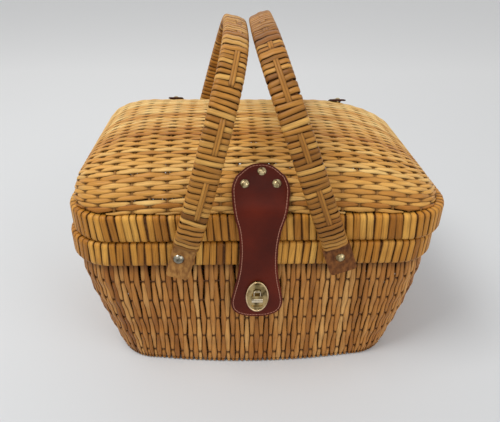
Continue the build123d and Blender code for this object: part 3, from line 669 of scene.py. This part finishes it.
store = new_store()
across = np.linspace(0, 1, STAKE_COUNT * 6 + 1)
row_knots = np.linspace(0, 1, 9)
for i in range(row_count):
    under = np.array([(i + k) % 2 == 0 for k in range(STAKE_COUNT)])
    drift = uneven(across, row_knots, ROW_DRIFT) / row_count
    a = (i + 0.5) / row_count + drift
    droop = ROW_DROOP / DOME_LENGTH * np.abs(2 * across - 1) ** DROOP_POWER
    spread = 1 + np.pi * droop * np.sin(np.pi * a)
    a = a - droop * np.cos(np.pi * a)
    upper = ease((a - UPPER_FROM) / UPPER_OVER)
    smooth_top = 1 - UPPER_SMOOTH * upper
    out = unit(read_net(net_out, across, a))
    surface = read_net(net, across, a)
    step = read_net(row_step[..., None], across, a)[:, 0]
    away = np.abs(across[:, None] - stake_b[None]) * DOME_WIDTH
    dip = at_crossings(away, under, UNDER_REACH)
    narrow = at_crossings(away, under, NARROW_REACH)
    crown = at_crossings(away, ~under, OVER_REACH)
    depth = ROW_HALF_T + 0.05 + RIDGE_H * smooth_top * (1 - crown) + ROW_DIP * smooth_top * dip
    half_w = 0.5 * step * spread * rng.uniform(*ROW_WIDTHS) * (
        ROW_MIDWAY_W + ROW_CROWN_W * crown - ROW_DIP_W * narrow)
    tone = rng.normal(*ROW_TONE) + UPPER_PALE * upper + uneven(across, row_knots, ROW_TONE_WAVE)
    tone = np.clip(tone, 0, 1)
    # Painted shade where the row dips under a stake.
    painted_shade = DIP_SHADE * dip ** 2
    line = surface - out * depth[:, None]
    first, last = rng.uniform(LEVEL_END, MOST_SHORT, 2) if i < SHORT_ROWS else (0.0, 0.0)
    kept = (a > LEVEL_END) & (a < 1 - LEVEL_END) & (across >= first) & (across <= 1 - last)
    room = np.minimum(across - first, 1 - last - across) * END_TAPER
    room = np.minimum(room, (a - LEVEL_END) * EDGE_TAPER)
    half_w = half_w * (END_WIDTH + (1 - END_WIDTH) * ease(room))
    sweep(store, line[kept], out[kept], half_w[kept], ROW_HALF_T, tone[kept], painted_shade[kept], boxy=0.9)
place("lid_rows", store, lid_willow, "lid", "willow_weave", "lid_weave")

# %% [markdown]
# ## Woven base
# The base is a flat mat inside the foot of the body: stakes from front to back and rows across.

# %% Base mat
BASE_Z = 5.9
BASE_INSET = 9.0
BASE_STAKE_PITCH, BASE_STAKE_HALF = 15.0, (1.6, 0.9)
BASE_ROW_PITCH, BASE_ROW_HALF, BASE_ROW_LIFT = 5.0, (2.45, 0.8), 0.95
half_w, half_d = (float(h) - BASE_INSET for h in wall_half(BASE_Z))
base_corner = BODY_CORNER - BASE_INSET


def chord(offset, half_long, half_cross):
    """Half length of a straight line through the base, at an offset from the middle."""
    over = max(abs(offset) - (half_cross - base_corner), 0.0)
    return half_long - base_corner + math.sqrt(max(base_corner ** 2 - over ** 2, 0.0))


def sweep_flat(store, x, y, z, out, half, tone=0.5, painted_shade=0.0, **how):
    """A strip from its coordinates, with the same outward direction all along."""
    line = np.stack(np.broadcast_arrays(x, y, z), 1)
    sweep(store, line, np.tile(out, (len(line), 1)), *half, tone, painted_shade, **how)


store = new_store()
above = (0.0, 0, 1)
stakes_x = np.arange(-10, 11) * BASE_STAKE_PITCH
for x in stakes_x[np.abs(stakes_x) < half_w - 4]:
    end = chord(x, half_d, half_w)
    # The second 0.3 is painted shade, for the stakes lie under the rows.
    sweep_flat(store, x, np.linspace(-end, end, 20), BASE_Z, above, BASE_STAKE_HALF, 0.3, 0.3, sides=8)
row_total = int(2 * half_d / BASE_ROW_PITCH)
for i in range(row_total):
    y = -half_d + (i + 0.5) * 2 * half_d / row_total
    end = chord(y, half_w, half_d)
    x = np.linspace(-end, end, 110)
    near = np.abs(x[:, None] - stakes_x[None])
    sign = np.where((np.arange(len(stakes_x)) + i) % 2 == 0, 1, -1)
    lift = ((1 - ease(near / (BASE_STAKE_PITCH / 2))) * sign[None]).sum(1)
    # Painted shade: a row is darkened between its crossings, where it lies low in the weave.
    tone, painted_shade = rng.uniform(0.3, 0.8), 0.3 * (1 - np.abs(lift))
    sweep_flat(store, x, y, BASE_Z + BASE_ROW_LIFT * lift, above, BASE_ROW_HALF, tone, painted_shade, sides=8)
place("base_mat", store, body_willow, "body", "willow_weave", "base_panel")

# %% [markdown]
# ## Wrapped and laced handles
# A handle is a flat bent core with cane wound round it turn by turn. A pair of thin strands runs
# lengthwise along its outer face: it lies over about six turns and then goes under the next six.
# The turns are closed loops in planes square to the handle's line, so they need that line, the
# outward direction and the lean of each handle. The same arch as the solid's is used.

# %% Line of the handle
PIVOT_X = {"left": -82.3, "right": 83.7}
PIVOT_Z = 164.2
LEAN = {"left": 15.8, "right": -20.6}
OFF_BOLT = {"left": 3.5, "right": -0.9}
CROWN_Z = {"left": 207.8, "right": 216.7}
LEG_Y, FOOT_Y = 152.5, 143.5
HANDLE_POWER = 3.3
FLARE = (4.0, 44.0)
HANDLE_WIDTH, HANDLE_THICK = 27.0, 11.0
WRAP_FROM = 14.6
TURN_PITCH = 5.7
TURN_HALF_T = 0.85


def arch(side):
    """A handle's middle line, upright, as lengths along it, points in Y and Z, and directions out."""
    angle = np.linspace(0, np.pi, 1441)
    across = np.abs(np.cos(angle)) ** (2 / HANDLE_POWER)
    up_z = np.abs(np.sin(angle)) ** (2 / HANDLE_POWER) * CROWN_Z[side]
    flare = (LEG_Y - FOOT_Y) * (1 - ease((up_z - FLARE[0]) / (FLARE[1] - FLARE[0])))
    sign = np.where(angle < np.pi / 2, -1, 1)
    line = evenly(np.stack([sign * (across * LEG_Y - flare), up_z], 1), 1201)
    step = unit(np.gradient(line, axis=0))
    return lengths_along(line), line, np.stack([-step[:, 1], step[:, 0]], 1)


arches = {side: arch(side) for side in LEAN}
print("handles", [round(arches[side][0][-1]) for side in LEAN], "mm along their bend")


def on_arch(side, run, x, lift):
    """Points at a length along a handle, x across it, lifted off its middle line."""
    arch_run, arch_line, arch_out = arches[side]
    y, z = read_line(run, arch_run, arch_line)
    oy, oz = read_line(run, arch_run, arch_out)
    x, lift = np.broadcast_to(x, y.shape), np.broadcast_to(lift, y.shape)
    return np.stack([x, y + oy * lift, z + oz * lift], -1), np.stack([np.zeros_like(y), oy, oz], -1)


def lean_over(points, side, move=True):
    """Turn upright handle points, or directions, to the handle's lean and put them on its bolts."""
    angle = math.radians(LEAN[side])
    c, s = math.cos(angle), math.sin(angle)
    x, y, z = points[:, 0] + (OFF_BOLT[side] if move else 0), points[:, 1], points[:, 2]
    turned = np.stack([c * x + s * z, y, -s * x + c * z], 1)
    shift = (PIVOT_X[side], 0, PIVOT_Z) if move else (0, 0, 0)
    return turned + np.array(shift)


# %% Wind the handles
# Painted shade: the right handle's lower tone darkens it, as it stands on the side away from the main lamp.
TURN_TONE_AND_SHADE, TURN_TONE_SPREAD = {"left": 0.46, "right": 0.34}, 0.24
TURN_WIDTHS, TURN_FILL, TURN_TIP = (0.88, 1.1), 0.95, 0.05
FIRST_TURN_Z = WRAP_FROM + 2.5
TURN_BULGE, BULGE_HALF = 0.9, 4.2
CROWN_FROM, CROWN_OVER, CROWN_WIDER = 212, 12, 0.8
LACING_X = {"left": 2.2, "right": 1.2}
LACED = {
    "left": [(59, 95), (124, 153), (186, 223), (262, 269), (300, 307)],
    "right": [(52, 88), (118, 143), (174, 214), (232, 238), (263, 270), (298, 305)],
}
section, section_out = box_section(
    HANDLE_WIDTH - 2 * TURN_HALF_T, HANDLE_THICK - 2 * TURN_HALF_T, 3.6, 28)


def wind(side, spans, length):
    """Turns of cane along a handle, bulging over hidden lacing and wider over the crown."""
    store = new_store()
    arch_run, arch_line, _ = arches[side]
    run = float(np.interp(FIRST_TURN_Z, arch_line[:200, 1], arch_run[:200]))
    last = length - run
    while run < last:
        crown_part = ease((min(run, length - run) - CROWN_FROM) / CROWN_OVER)
        width = TURN_PITCH * rng.uniform(*TURN_WIDTHS)
        laced = any(a - 1 < run + width / 2 < b + 1 for a, b in spans)
        width *= 1 + (0.0 if laced else CROWN_WIDER) * crown_part
        bulge = np.exp(-((section[:, 0] - LACING_X[side]) / BULGE_HALF) ** 2) * (section_out[:, 1] > 0.5)
        lift = section[:, 1] + (0.0 if laced else TURN_BULGE) * bulge
        tip = TURN_TIP * rng.normal()
        at = np.full(len(section), run + width / 2)
        line, _ = on_arch(side, at + section[:, 0] * tip, section[:, 0], lift)
        _, radial = on_arch(side, at, 0, 0)
        out = radial * section_out[:, 1:]
        out[:, 0] = section_out[:, 0]
        tone = np.clip(rng.normal(TURN_TONE_AND_SHADE[side], TURN_TONE_SPREAD), 0, 1)
        sweep(store, lean_over(line, side), lean_over(out, side, False), width / 2 * TURN_FILL,
              TURN_HALF_T, tone, closed=True, sides=8, boxy=0.75)
        run += width
    return store


# %% Lace the handles
LACING_HALF = (1.5, 0.8)
LACING_LIFT, LACING_SINK, LACING_END = 5.75, 1.5, 3
SHORT_LACING, SHORT_SLOPE, LONG_SLOPE = 12, 2.5, 4.0


def lace(side, spans):
    """Pairs of strands along a handle, sunk at both ends of each stretch."""
    laces = new_store()
    for a, b in spans:
        points = np.linspace(a - LACING_END, b + LACING_END, max(14, int((b - a) / 2.5)))
        slope = SHORT_SLOPE if b - a < SHORT_LACING else LONG_SLOPE
        sink = 1 - ease((points - (a - LACING_END)) / slope) * ease(((b + LACING_END) - points) / slope)
        for ply in (-1, 1):
            x = LACING_X[side] + ply * LACING_HALF[0] * 0.82
            line, out = on_arch(side, points, x, LACING_LIFT - LACING_SINK * sink)
            tone = np.clip(rng.normal(TURN_TONE_AND_SHADE[side] - 0.05, 0.12), 0, 1)
            # Painted shade: the lacing darkens where it sinks under the turns.
            sweep(laces, lean_over(line, side), lean_over(out, side, False), *LACING_HALF, tone, 0.5 * sink,
                  sides=8, boxy=0.6)
    return laces


for side in ("left", "right"):
    length = arches[side][0][-1]
    spans = LACED[side] + [(length - b, length - a) for a, b in reversed(LACED[side])]
    handle = f"{side}_handle"
    turns, laces = wind(side, spans, length), lace(side, spans)
    for part, store, solid in (("turns", turns, "wrap"), ("laces", laces, "lacing")):
        place(f"{handle}_{part}", store, handle_cane, handle, "split_cane", f"{handle}_{solid}")

# %% [markdown]
# ## Leather
# The closing strap is thick, smooth, oiled leather with a fine grain, a dark cut edge and one
# line of pale stitching. Its colour is not even: it is darker in broad patches where it was
# handled. A cell noise gives the grain of the bump, and a wide noise the patches.

# %% Leather material
def leather_finish(name, deep, worn, rough):
    """Smooth oiled leather."""
    material, tree = new_material(name)
    where = object_place(tree)
    patch = noise(tree, where, 22, 4)
    pores = node(tree, "ShaderNodeTexVoronoi", {"Vector": where, "Scale": 900}).outputs[0]
    surface_shader(tree, {
        "Base Color": colour_ramp(tree, patch, [(0.3, deep), (0.7, worn)]),
        "Roughness": ranged(tree, patch, rough - 0.08, rough + 0.1), "Specular IOR Level": 0.16,
        "Normal": relief(tree, pores, 0.25, 0.0003)})
    return material


strap_leather = leather_finish("strap_leather", (68, 17, 5), (96, 28, 10), 0.42)
hinge_leather = leather_finish("hinge_leather", (50, 28, 20), (78, 42, 28), 0.6)
print("leathers", strap_leather.name, hinge_leather.name)

# %% [markdown]
# ## Closing strap
# The strap is one piece of leather: a round head riveted to the lid, a narrow neck, and a broad
# foot that carries the lock. It lies on the dome, bends over the rim and hangs down the front.
# It is built as a run of sections along that line, each as wide as the outline there, with a
# rounded edge and a shallow groove for the stitches. It is one mesh that bends where the lid
# meets the body.

# %% Strap line and outline
STRAP_T = 3.0
STRAP_GAP = 0.5
STRAP_FACE_Y = -137.8
STRAP_SLOPE_Y = (-96.0, -102.0, -108.0, -114.0, -120.0, -125.0, -129.0)
STRAP_SHOULDER = ((-135.8, 218.5), (-137.6, 211.5), (-137.8, 205.0), (-137.8, 196.0), (-137.8, 188.0))
STRAP_HANG_Z = (170.0, 150.0, 125.0, 100.0, 81.2)
STRAP_SKEW, STRAP_MID_Z = 0.015, 170.0
STRAP_OUTLINE = (
    (0.0, 251.2), (8.0, 250.6), (15.0, 248.6), (21.5, 245.0), (25.5, 242.0), (29.0, 232.5),
    (26.3, 212.0), (21.8, 193.0), (19.8, 172.0), (20.3, 150.0), (22.6, 132.0), (25.8, 117.0),
    (28.2, 103.5), (27.6, 95.2), (25.3, 89.8), (20.0, 85.0), (10.5, 81.8), (0.0, 81.2))


def smooth_line(points, count):
    """A smooth line through a few points, as many evenly spaced points."""
    points = np.asarray(points, float)
    padded = np.concatenate([[2 * points[0] - points[1]], points, [2 * points[-1] - points[-2]]])
    fine = []
    for p0, p1, p2, p3 in zip(padded, padded[1:], padded[2:], padded[3:]):
        for t in np.linspace(0, 1, 24, endpoint=False):
            fine.append(0.5 * (2 * p1 + (p2 - p0) * t + (2 * p0 - 5 * p1 + 4 * p2 - p3) * t ** 2
                               + (3 * p1 - p0 - 3 * p2 + p3) * t ** 3))
    fine.append(points[-1])
    return evenly(np.array(fine), count)


def dome_z(x, y):
    """Height of the dome above a point near the middle of the lid."""
    profile = dome_profile(x)
    half = len(profile) // 2
    return np.interp(-abs(y), profile[:half, 0], profile[:half, 1])


def lifted(x, y, lift):
    """A point lifted off the dome, square to its slope, as Y and Z."""
    rise = dome_z(x, y + 0.5) - dome_z(x, y - 0.5)
    size = math.hypot(rise, 1.0)
    return y - rise / size * lift, dome_z(x, y) + lift / size


back_line = [lifted(0, y, STRAP_GAP + STRAP_T / 2) for y in STRAP_SLOPE_Y]
back_line += [(y - STRAP_T / 2, z) for y, z in STRAP_SHOULDER]
back_line += [(STRAP_FACE_Y - STRAP_T / 2, z) for z in STRAP_HANG_Z]
strap_line = smooth_line(back_line, 700)
outline = smooth_line(STRAP_OUTLINE, 900)
top_index = int(np.argmin(np.abs(strap_line[:, 1] - outline[0, 1])))
strap_line = strap_line[top_index:]
strap_run = lengths_along(strap_line)
STRAP_LENGTH = strap_run[-1]


def strap_at(run):
    """Middle line of the strap at a length from its head: X, Y, Z, outward direction, half width."""
    y, z = read_line(run, strap_run, strap_line)
    sy, sz = read_line(run, strap_run, np.gradient(strap_line, axis=0))
    out = unit(np.stack([np.zeros_like(y), sz, -sy], -1))
    half = np.interp(-z, -outline[:, 1], outline[:, 0])
    x = (z - STRAP_MID_Z) * STRAP_SKEW
    return np.stack([x, y, z], -1), out, half


# %% Strap mesh
EDGE_STEPS = np.array([0.0, 0.25, 0.8, 1.7, 2.05, 2.45, 2.85, 3.3, 6.0])
EDGE_RISE = np.array([0.45, 0.85, 1.0, 1.0, 0.93, 0.78, 0.93, 1.0, 1.0])
MIDDLE_COLUMNS = 7
NARROW_END = 7.0
stations = STRAP_LENGTH * (1 - np.cos(np.linspace(0.02, np.pi - 0.02, 150))) / 2
middle, out, half = strap_at(stations)
sideways = np.array([1.0, 0, 0])
rows = []
for p, o, h in zip(middle, out, half):
    edge = h - EDGE_STEPS * min(1.0, h / NARROW_END)
    inner = np.linspace(-edge[-1], edge[-1], MIDDLE_COLUMNS + 2)[1:-1]
    x = np.concatenate([-edge, inner, edge[::-1]])
    rise = np.concatenate([EDGE_RISE, np.ones(MIDDLE_COLUMNS), EDGE_RISE[::-1]]) * STRAP_T / 2
    face = p + sideways * x[:, None] + o * rise[:, None]
    rear = p + sideways * x[::-1, None] - o * rise[::-1, None]
    rows.append(np.concatenate([face, rear]))
faces = tube_faces(len(rows), len(rows[0]))
strap = mesh_piece("closing_strap", np.concatenate(rows), faces, strap_leather)
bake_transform(strap)
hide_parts("strap_upper", "strap_tail")
print("strap", round(STRAP_LENGTH), "mm long")

# %% [markdown]
# The stitches follow the strap's edge at a fixed distance. Each is a short rounded thread that
# sinks at both ends, so the line reads as thread and not as paint.

# %% Stitches
STITCH_INSET, STITCH_PITCH, STITCH_LENGTH = 2.45, 3.3, 2.75
STITCH_HALF, STITCH_ARCH, STITCH_SUNK = (0.42, 0.3), 0.15, 0.05
runs = np.linspace(0.0, STRAP_LENGTH, 1500)
_, _, run_half = strap_at(runs)
loop = np.concatenate([np.stack([run_half, runs], 1), np.stack([-run_half, runs], 1)[::-1]])
loop_step = unit(np.roll(loop, -3, 0) - np.roll(loop, 3, 0))
inner_loop = loop + np.stack([-loop_step[:, 1], loop_step[:, 0]], 1) * STITCH_INSET
lengths = inner_loop[:, 1]
inner_loop = inner_loop[(lengths > STITCH_INSET) & (lengths < STRAP_LENGTH - STITCH_INSET)]
inner_loop = evenly(np.concatenate([inner_loop, inner_loop[:1]]), 4000)
total = np.linalg.norm(np.diff(inner_loop, axis=0), axis=1).sum()
thread, thread_tree = new_material("stitching_thread")
twist = node(thread_tree, "ShaderNodeTexNoise", {"Scale": 700}).outputs[0]
thread_colour = colour_ramp(thread_tree, twist, [(0.3, (150, 92, 72)), (0.7, (196, 142, 118))])
surface_shader(thread_tree, {"Base Color": thread_colour, "Roughness": 0.7})
store = new_store()
stitch_count = round(total / STITCH_PITCH)
for i in range(stitch_count):
    at = (i + np.linspace(0, STITCH_LENGTH / STITCH_PITCH, 5)) / stitch_count * (len(inner_loop) - 1)
    x, run = read_line(at, np.arange(len(inner_loop)), inner_loop)
    p, o, _ = strap_at(run)
    p[:, 0] += x
    lift = STRAP_T / 2 - STITCH_SUNK + STITCH_ARCH * np.sin(np.linspace(0, np.pi, 5)) - STITCH_ARCH
    sweep(store, p + o * lift[:, None], o, *STITCH_HALF, sides=6, boxy=1)
stitches = strips_piece("strap_stitches", store, thread)
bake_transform(stitches)

# %% [markdown]
# ## Hinge straps
# Two short leather straps at the back hold the lid. Each is nailed to the body's rim and riveted
# to the lid's back slope, and bends where the lid turns.

# %% Hinge straps
HINGE_X = {"left": -100.0, "right": 117.0}
HINGE_HALF_W, HINGE_T = 9.0, 2.0
HINGE_SLOPE_Y = (133.2, 128.0, 122.0, 114.0, 105.0, 94.0, 82.0)
HINGE_BACK = [
    (137.1, 151.0), (137.1, 160.0), (137.1, 169.0), (138.35, 178.0), (138.35, 191.0), (138.3, 202.0),
    (137.2, 210.5)]
for side, x in HINGE_X.items():
    near = x - math.copysign(HINGE_HALF_W, x)
    slope = [lifted(near, y, STRAP_GAP + HINGE_T / 2) for y in HINGE_SLOPE_Y]
    line2 = smooth_line(HINGE_BACK + slope, 90)
    line = np.stack([np.full(len(line2), x), line2[:, 0], line2[:, 1]], 1)
    step = np.gradient(line, axis=0)
    out = unit(np.stack([np.zeros(len(step)), step[:, 2], -step[:, 1]], 1))
    store = new_store()
    sweep(store, line, out, HINGE_HALF_W, HINGE_T / 2, sides=20, boxy=0.25)
    piece = strips_piece(f"{side}_hinge_strap", store, hinge_leather)
    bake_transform(piece)
    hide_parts(f"{side}_hinge_strap_body_half", f"{side}_hinge_strap_lid_half")

# %% [markdown]
# ## Metal fittings
# Rivets, bolts and the lock are thin pale brass over nickel. They shine softly, with small
# scratches and a slight tarnish. The solids already have the right shapes, so they only get a
# finish: metallic, with a noise that changes the colour and the roughness together.

# %% Metal material
def metal_finish(name, bright, dull, rough, wear_scale=260):
    """Pale plated metal with light wear."""
    material, tree = new_material(name)
    wear = noise(tree, object_place(tree), wear_scale, 5)
    surface_shader(tree, {
        "Base Color": colour_ramp(tree, wear, [(0.35, dull), (0.6, bright)]),
        "Roughness": ranged(tree, wear, rough + 0.15, rough), "Metallic": 1.0})
    return material


plate_metal = metal_finish("plate_metal", (184, 160, 112), (66, 52, 28), 0.14, 110)
bead_metal = metal_finish("bead_metal", (232, 206, 164), (176, 148, 104), 0.18, 90)
knob_metal = metal_finish("knob_metal", (216, 202, 176), (104, 90, 68), 0.14, 160)
rivet_metal = metal_finish("rivet_metal", (190, 172, 132), (122, 104, 70), 0.2)
nickel = metal_finish("nickel", (150, 144, 130), (92, 86, 72), 0.16)


# %% Bare wood material
def plain_wood(name, dark, light, stretch=(60, 60, 60)):
    """Bare wood for solids that carry no fibre values."""
    material, tree = new_material(name)
    grain = noise(tree, object_place(tree), 4.0, 6, stretch)
    surface_shader(tree, {
        "Base Color": colour_ramp(tree, grain, [(0.35, dark), (0.65, light)]),
        "Roughness": 0.65, "Specular IOR Level": 0.2, "Normal": relief(tree, grain, 0.6, 0.0006)})
    return material


left_foot_wood = plain_wood("left_foot_wood", (124, 80, 38), (178, 128, 68), (60, 60, 30))
right_foot_wood = plain_wood("right_foot_wood", (84, 46, 20), (136, 84, 40), (60, 60, 30))
hidden_wood = plain_wood("hidden_wood", (74, 42, 18), (112, 70, 34))

# %% Finish the solids
finishes = (
    (rivet_metal, ("strap_rivets", "handle_bolts", "hinge_rim_nails", "hinge_lid_rivets", "keeper_pins",
                   "handle_washers", "handle_nuts", "strap_rivet_burrs")),
    (plate_metal, ("lock_plate", "lock_back_plate", "lock_turn_piece", "keeper_plate")),
    (hidden_wood, ("body_rim_hoop", "lid_rim_hoop", "lid_ribs", "handle_spacers")),
    (hinge_leather, ("keeper_pad",)),
    (left_foot_wood, ("left_handle_core",)),
    (right_foot_wood, ("right_handle_core",)),
)
for material, names in finishes:
    for name in names:
        nodes[name].data.materials.clear()
        nodes[name].data.materials.append(material)
    print(material.name, "on", len(names), "solids")

# The left handle turns on nickel bolts, the right one on brass bolts
bolts = nodes["handle_bolts"].data
bolts.materials.append(nickel)
for polygon in bolts.polygons:
    polygon.material_index = 1 if polygon.center.x < 0 else 0

# %% [markdown]
# The lock's plate has a raised bead round its edge. Its knob is a flat bar below the middle with
# a square ring above it, and both turn with the spindle. These small bright edges are what the
# eye reads as a lock, so they are swept as rounded bands; the bar is two of them side by side.

# %% Bead and knob of the lock
LOCK_X, LOCK_Z = -0.89, 110.6
PLATE_FACE_Y = -143.05
BEAD_HALF, BEAD_BAND = (11.6, 19.6), (0.85, 0.55)
RING_HALF, RING_BAND, RING_UP, RING_LIFT = (3.4, 3.3), (0.75, 0.8), 4.6, 0.9
BAR_HALF_W, BAR_BAND, BAR_DOWN, BAR_SPLIT, BAR_LIFT = 6.0, (1.3, 1.1), 3.6, 1.2, 1.5


def on_plate(store, x, z, lift, band, **how):
    """A band that lies flat in front of the lock's plate."""
    sweep_flat(store, LOCK_X + x, PLATE_FACE_Y - lift, LOCK_Z + z, (0.0, -1, 0), band, **how)


angle = np.linspace(0, 2 * np.pi, 72, endpoint=False)
store = new_store()
on_plate(store, BEAD_HALF[0] * np.cos(angle), BEAD_HALF[1] * np.sin(angle), 0.0, BEAD_BAND,
         closed=True, boxy=1.0)
place("lock_bead", store, bead_metal, "strap_tail", "pale_brass")
store = new_store()
ring, _ = box_section(2 * RING_HALF[0], 2 * RING_HALF[1], 1.0, 48)
on_plate(store, ring[:, 0], RING_UP + ring[:, 1], RING_LIFT, RING_BAND, closed=True, boxy=1.0)
bar_x = np.linspace(-BAR_HALF_W, BAR_HALF_W, 16)
for down in (-BAR_SPLIT, BAR_SPLIT):
    on_plate(store, bar_x, down - BAR_DOWN, BAR_LIFT, BAR_BAND, boxy=0.5)
place("lock_knob", store, knob_metal, "turn_piece", "pale_brass")

# %% [markdown]
# ## Studio
# The basket stands on a plain pale floor. Light is painted on it: its colour is darker near the
# basket, where the lamps light it most, and paler far back, where they reach least. A large soft lamp
# stands up on the left, a weaker one on the right, and an even pale sky fills the shadows.

# %% Floor
FLOOR_HALF = 9000.0
# Where the painted light on the floor starts and ends, in metres along Y.
PAINTED_LIGHT_FROM, PAINTED_LIGHT_TO = -0.4, 1.2

floor_material, floor_tree = new_material("studio_floor")
floor_axes = node(floor_tree, "ShaderNodeSeparateXYZ", {0: object_place(floor_tree)})
# Painted light: the floor's colour runs from darker near the basket to paler far back.
painted_floor_light = ranged(floor_tree, floor_axes.outputs["Y"], 0.0, 1.0, PAINTED_LIGHT_FROM, PAINTED_LIGHT_TO)
floor_colour = colour_ramp(floor_tree, painted_floor_light, [(0.0, (205, 209, 213)), (1.0, (244, 246, 248))])
surface_shader(floor_tree, {"Base Color": floor_colour, "Roughness": 0.9})
corners = [(x * FLOOR_HALF, y * FLOOR_HALF, 0) for x, y in ((-1, -1), (1, -1), (1, 1), (-1, 1))]
floor = mesh_piece("floor", corners, [[0, 1, 2, 3]], floor_material)


# %% Lamps
def soft_lamp(name, at, target, size, power, colour):
    """A square area lamp that looks at a point."""
    data = bpy.data.lights.new(name, "AREA")
    data.shape = "SQUARE"
    data.size = size
    data.energy = power
    data.color = colour
    lamp = add_object(name, data)
    lamp.location = at
    lamp.rotation_euler = (Vector(target) - Vector(at)).to_track_quat("-Z", "Y").to_euler()
    print(name, power, "W")


soft_lamp("window", (-0.75, -0.45, 1.65), (0, 0, 0.15), 0.8, 17.5, (1.0, 0.98, 0.95))
soft_lamp("fill", (1.3, -1.2, 1.0), (0, 0, 0.1), 1.2, 8.5, (1.0, 0.98, 0.96))

# %% [markdown]
# The sky lights the basket softly, but the camera, and metal that mirrors the sky, see plain white.

# %% Sky
SKY_STRENGTH = 0.55
world = bpy.data.worlds.new("world")
bpy.context.scene.world = world
world_tree = empty_tree(world)
rays = world_tree.nodes.new("ShaderNodeLightPath").outputs
seen = rays["Is Camera Ray"]
for kind in ("Is Glossy Ray", "Is Transmission Ray"):
    seen = node(world_tree, "ShaderNodeMath", {0: seen, 1: rays[kind]}, operation="MAXIMUM").outputs[0]
soft, plain = (
    node(world_tree, "ShaderNodeBackground", {"Color": colour, "Strength": strength}).outputs[0]
    for colour, strength in (((1.0, 0.99, 0.98, 1), SKY_STRENGTH), ((1, 1, 1, 1), 1.0)))
choose = node(world_tree, "ShaderNodeMixShader", {0: seen, 1: soft, 2: plain})
node(world_tree, "ShaderNodeOutputWorld", {"Surface": choose.outputs[0]})
bpy.context.scene.view_settings.view_transform = "Standard"
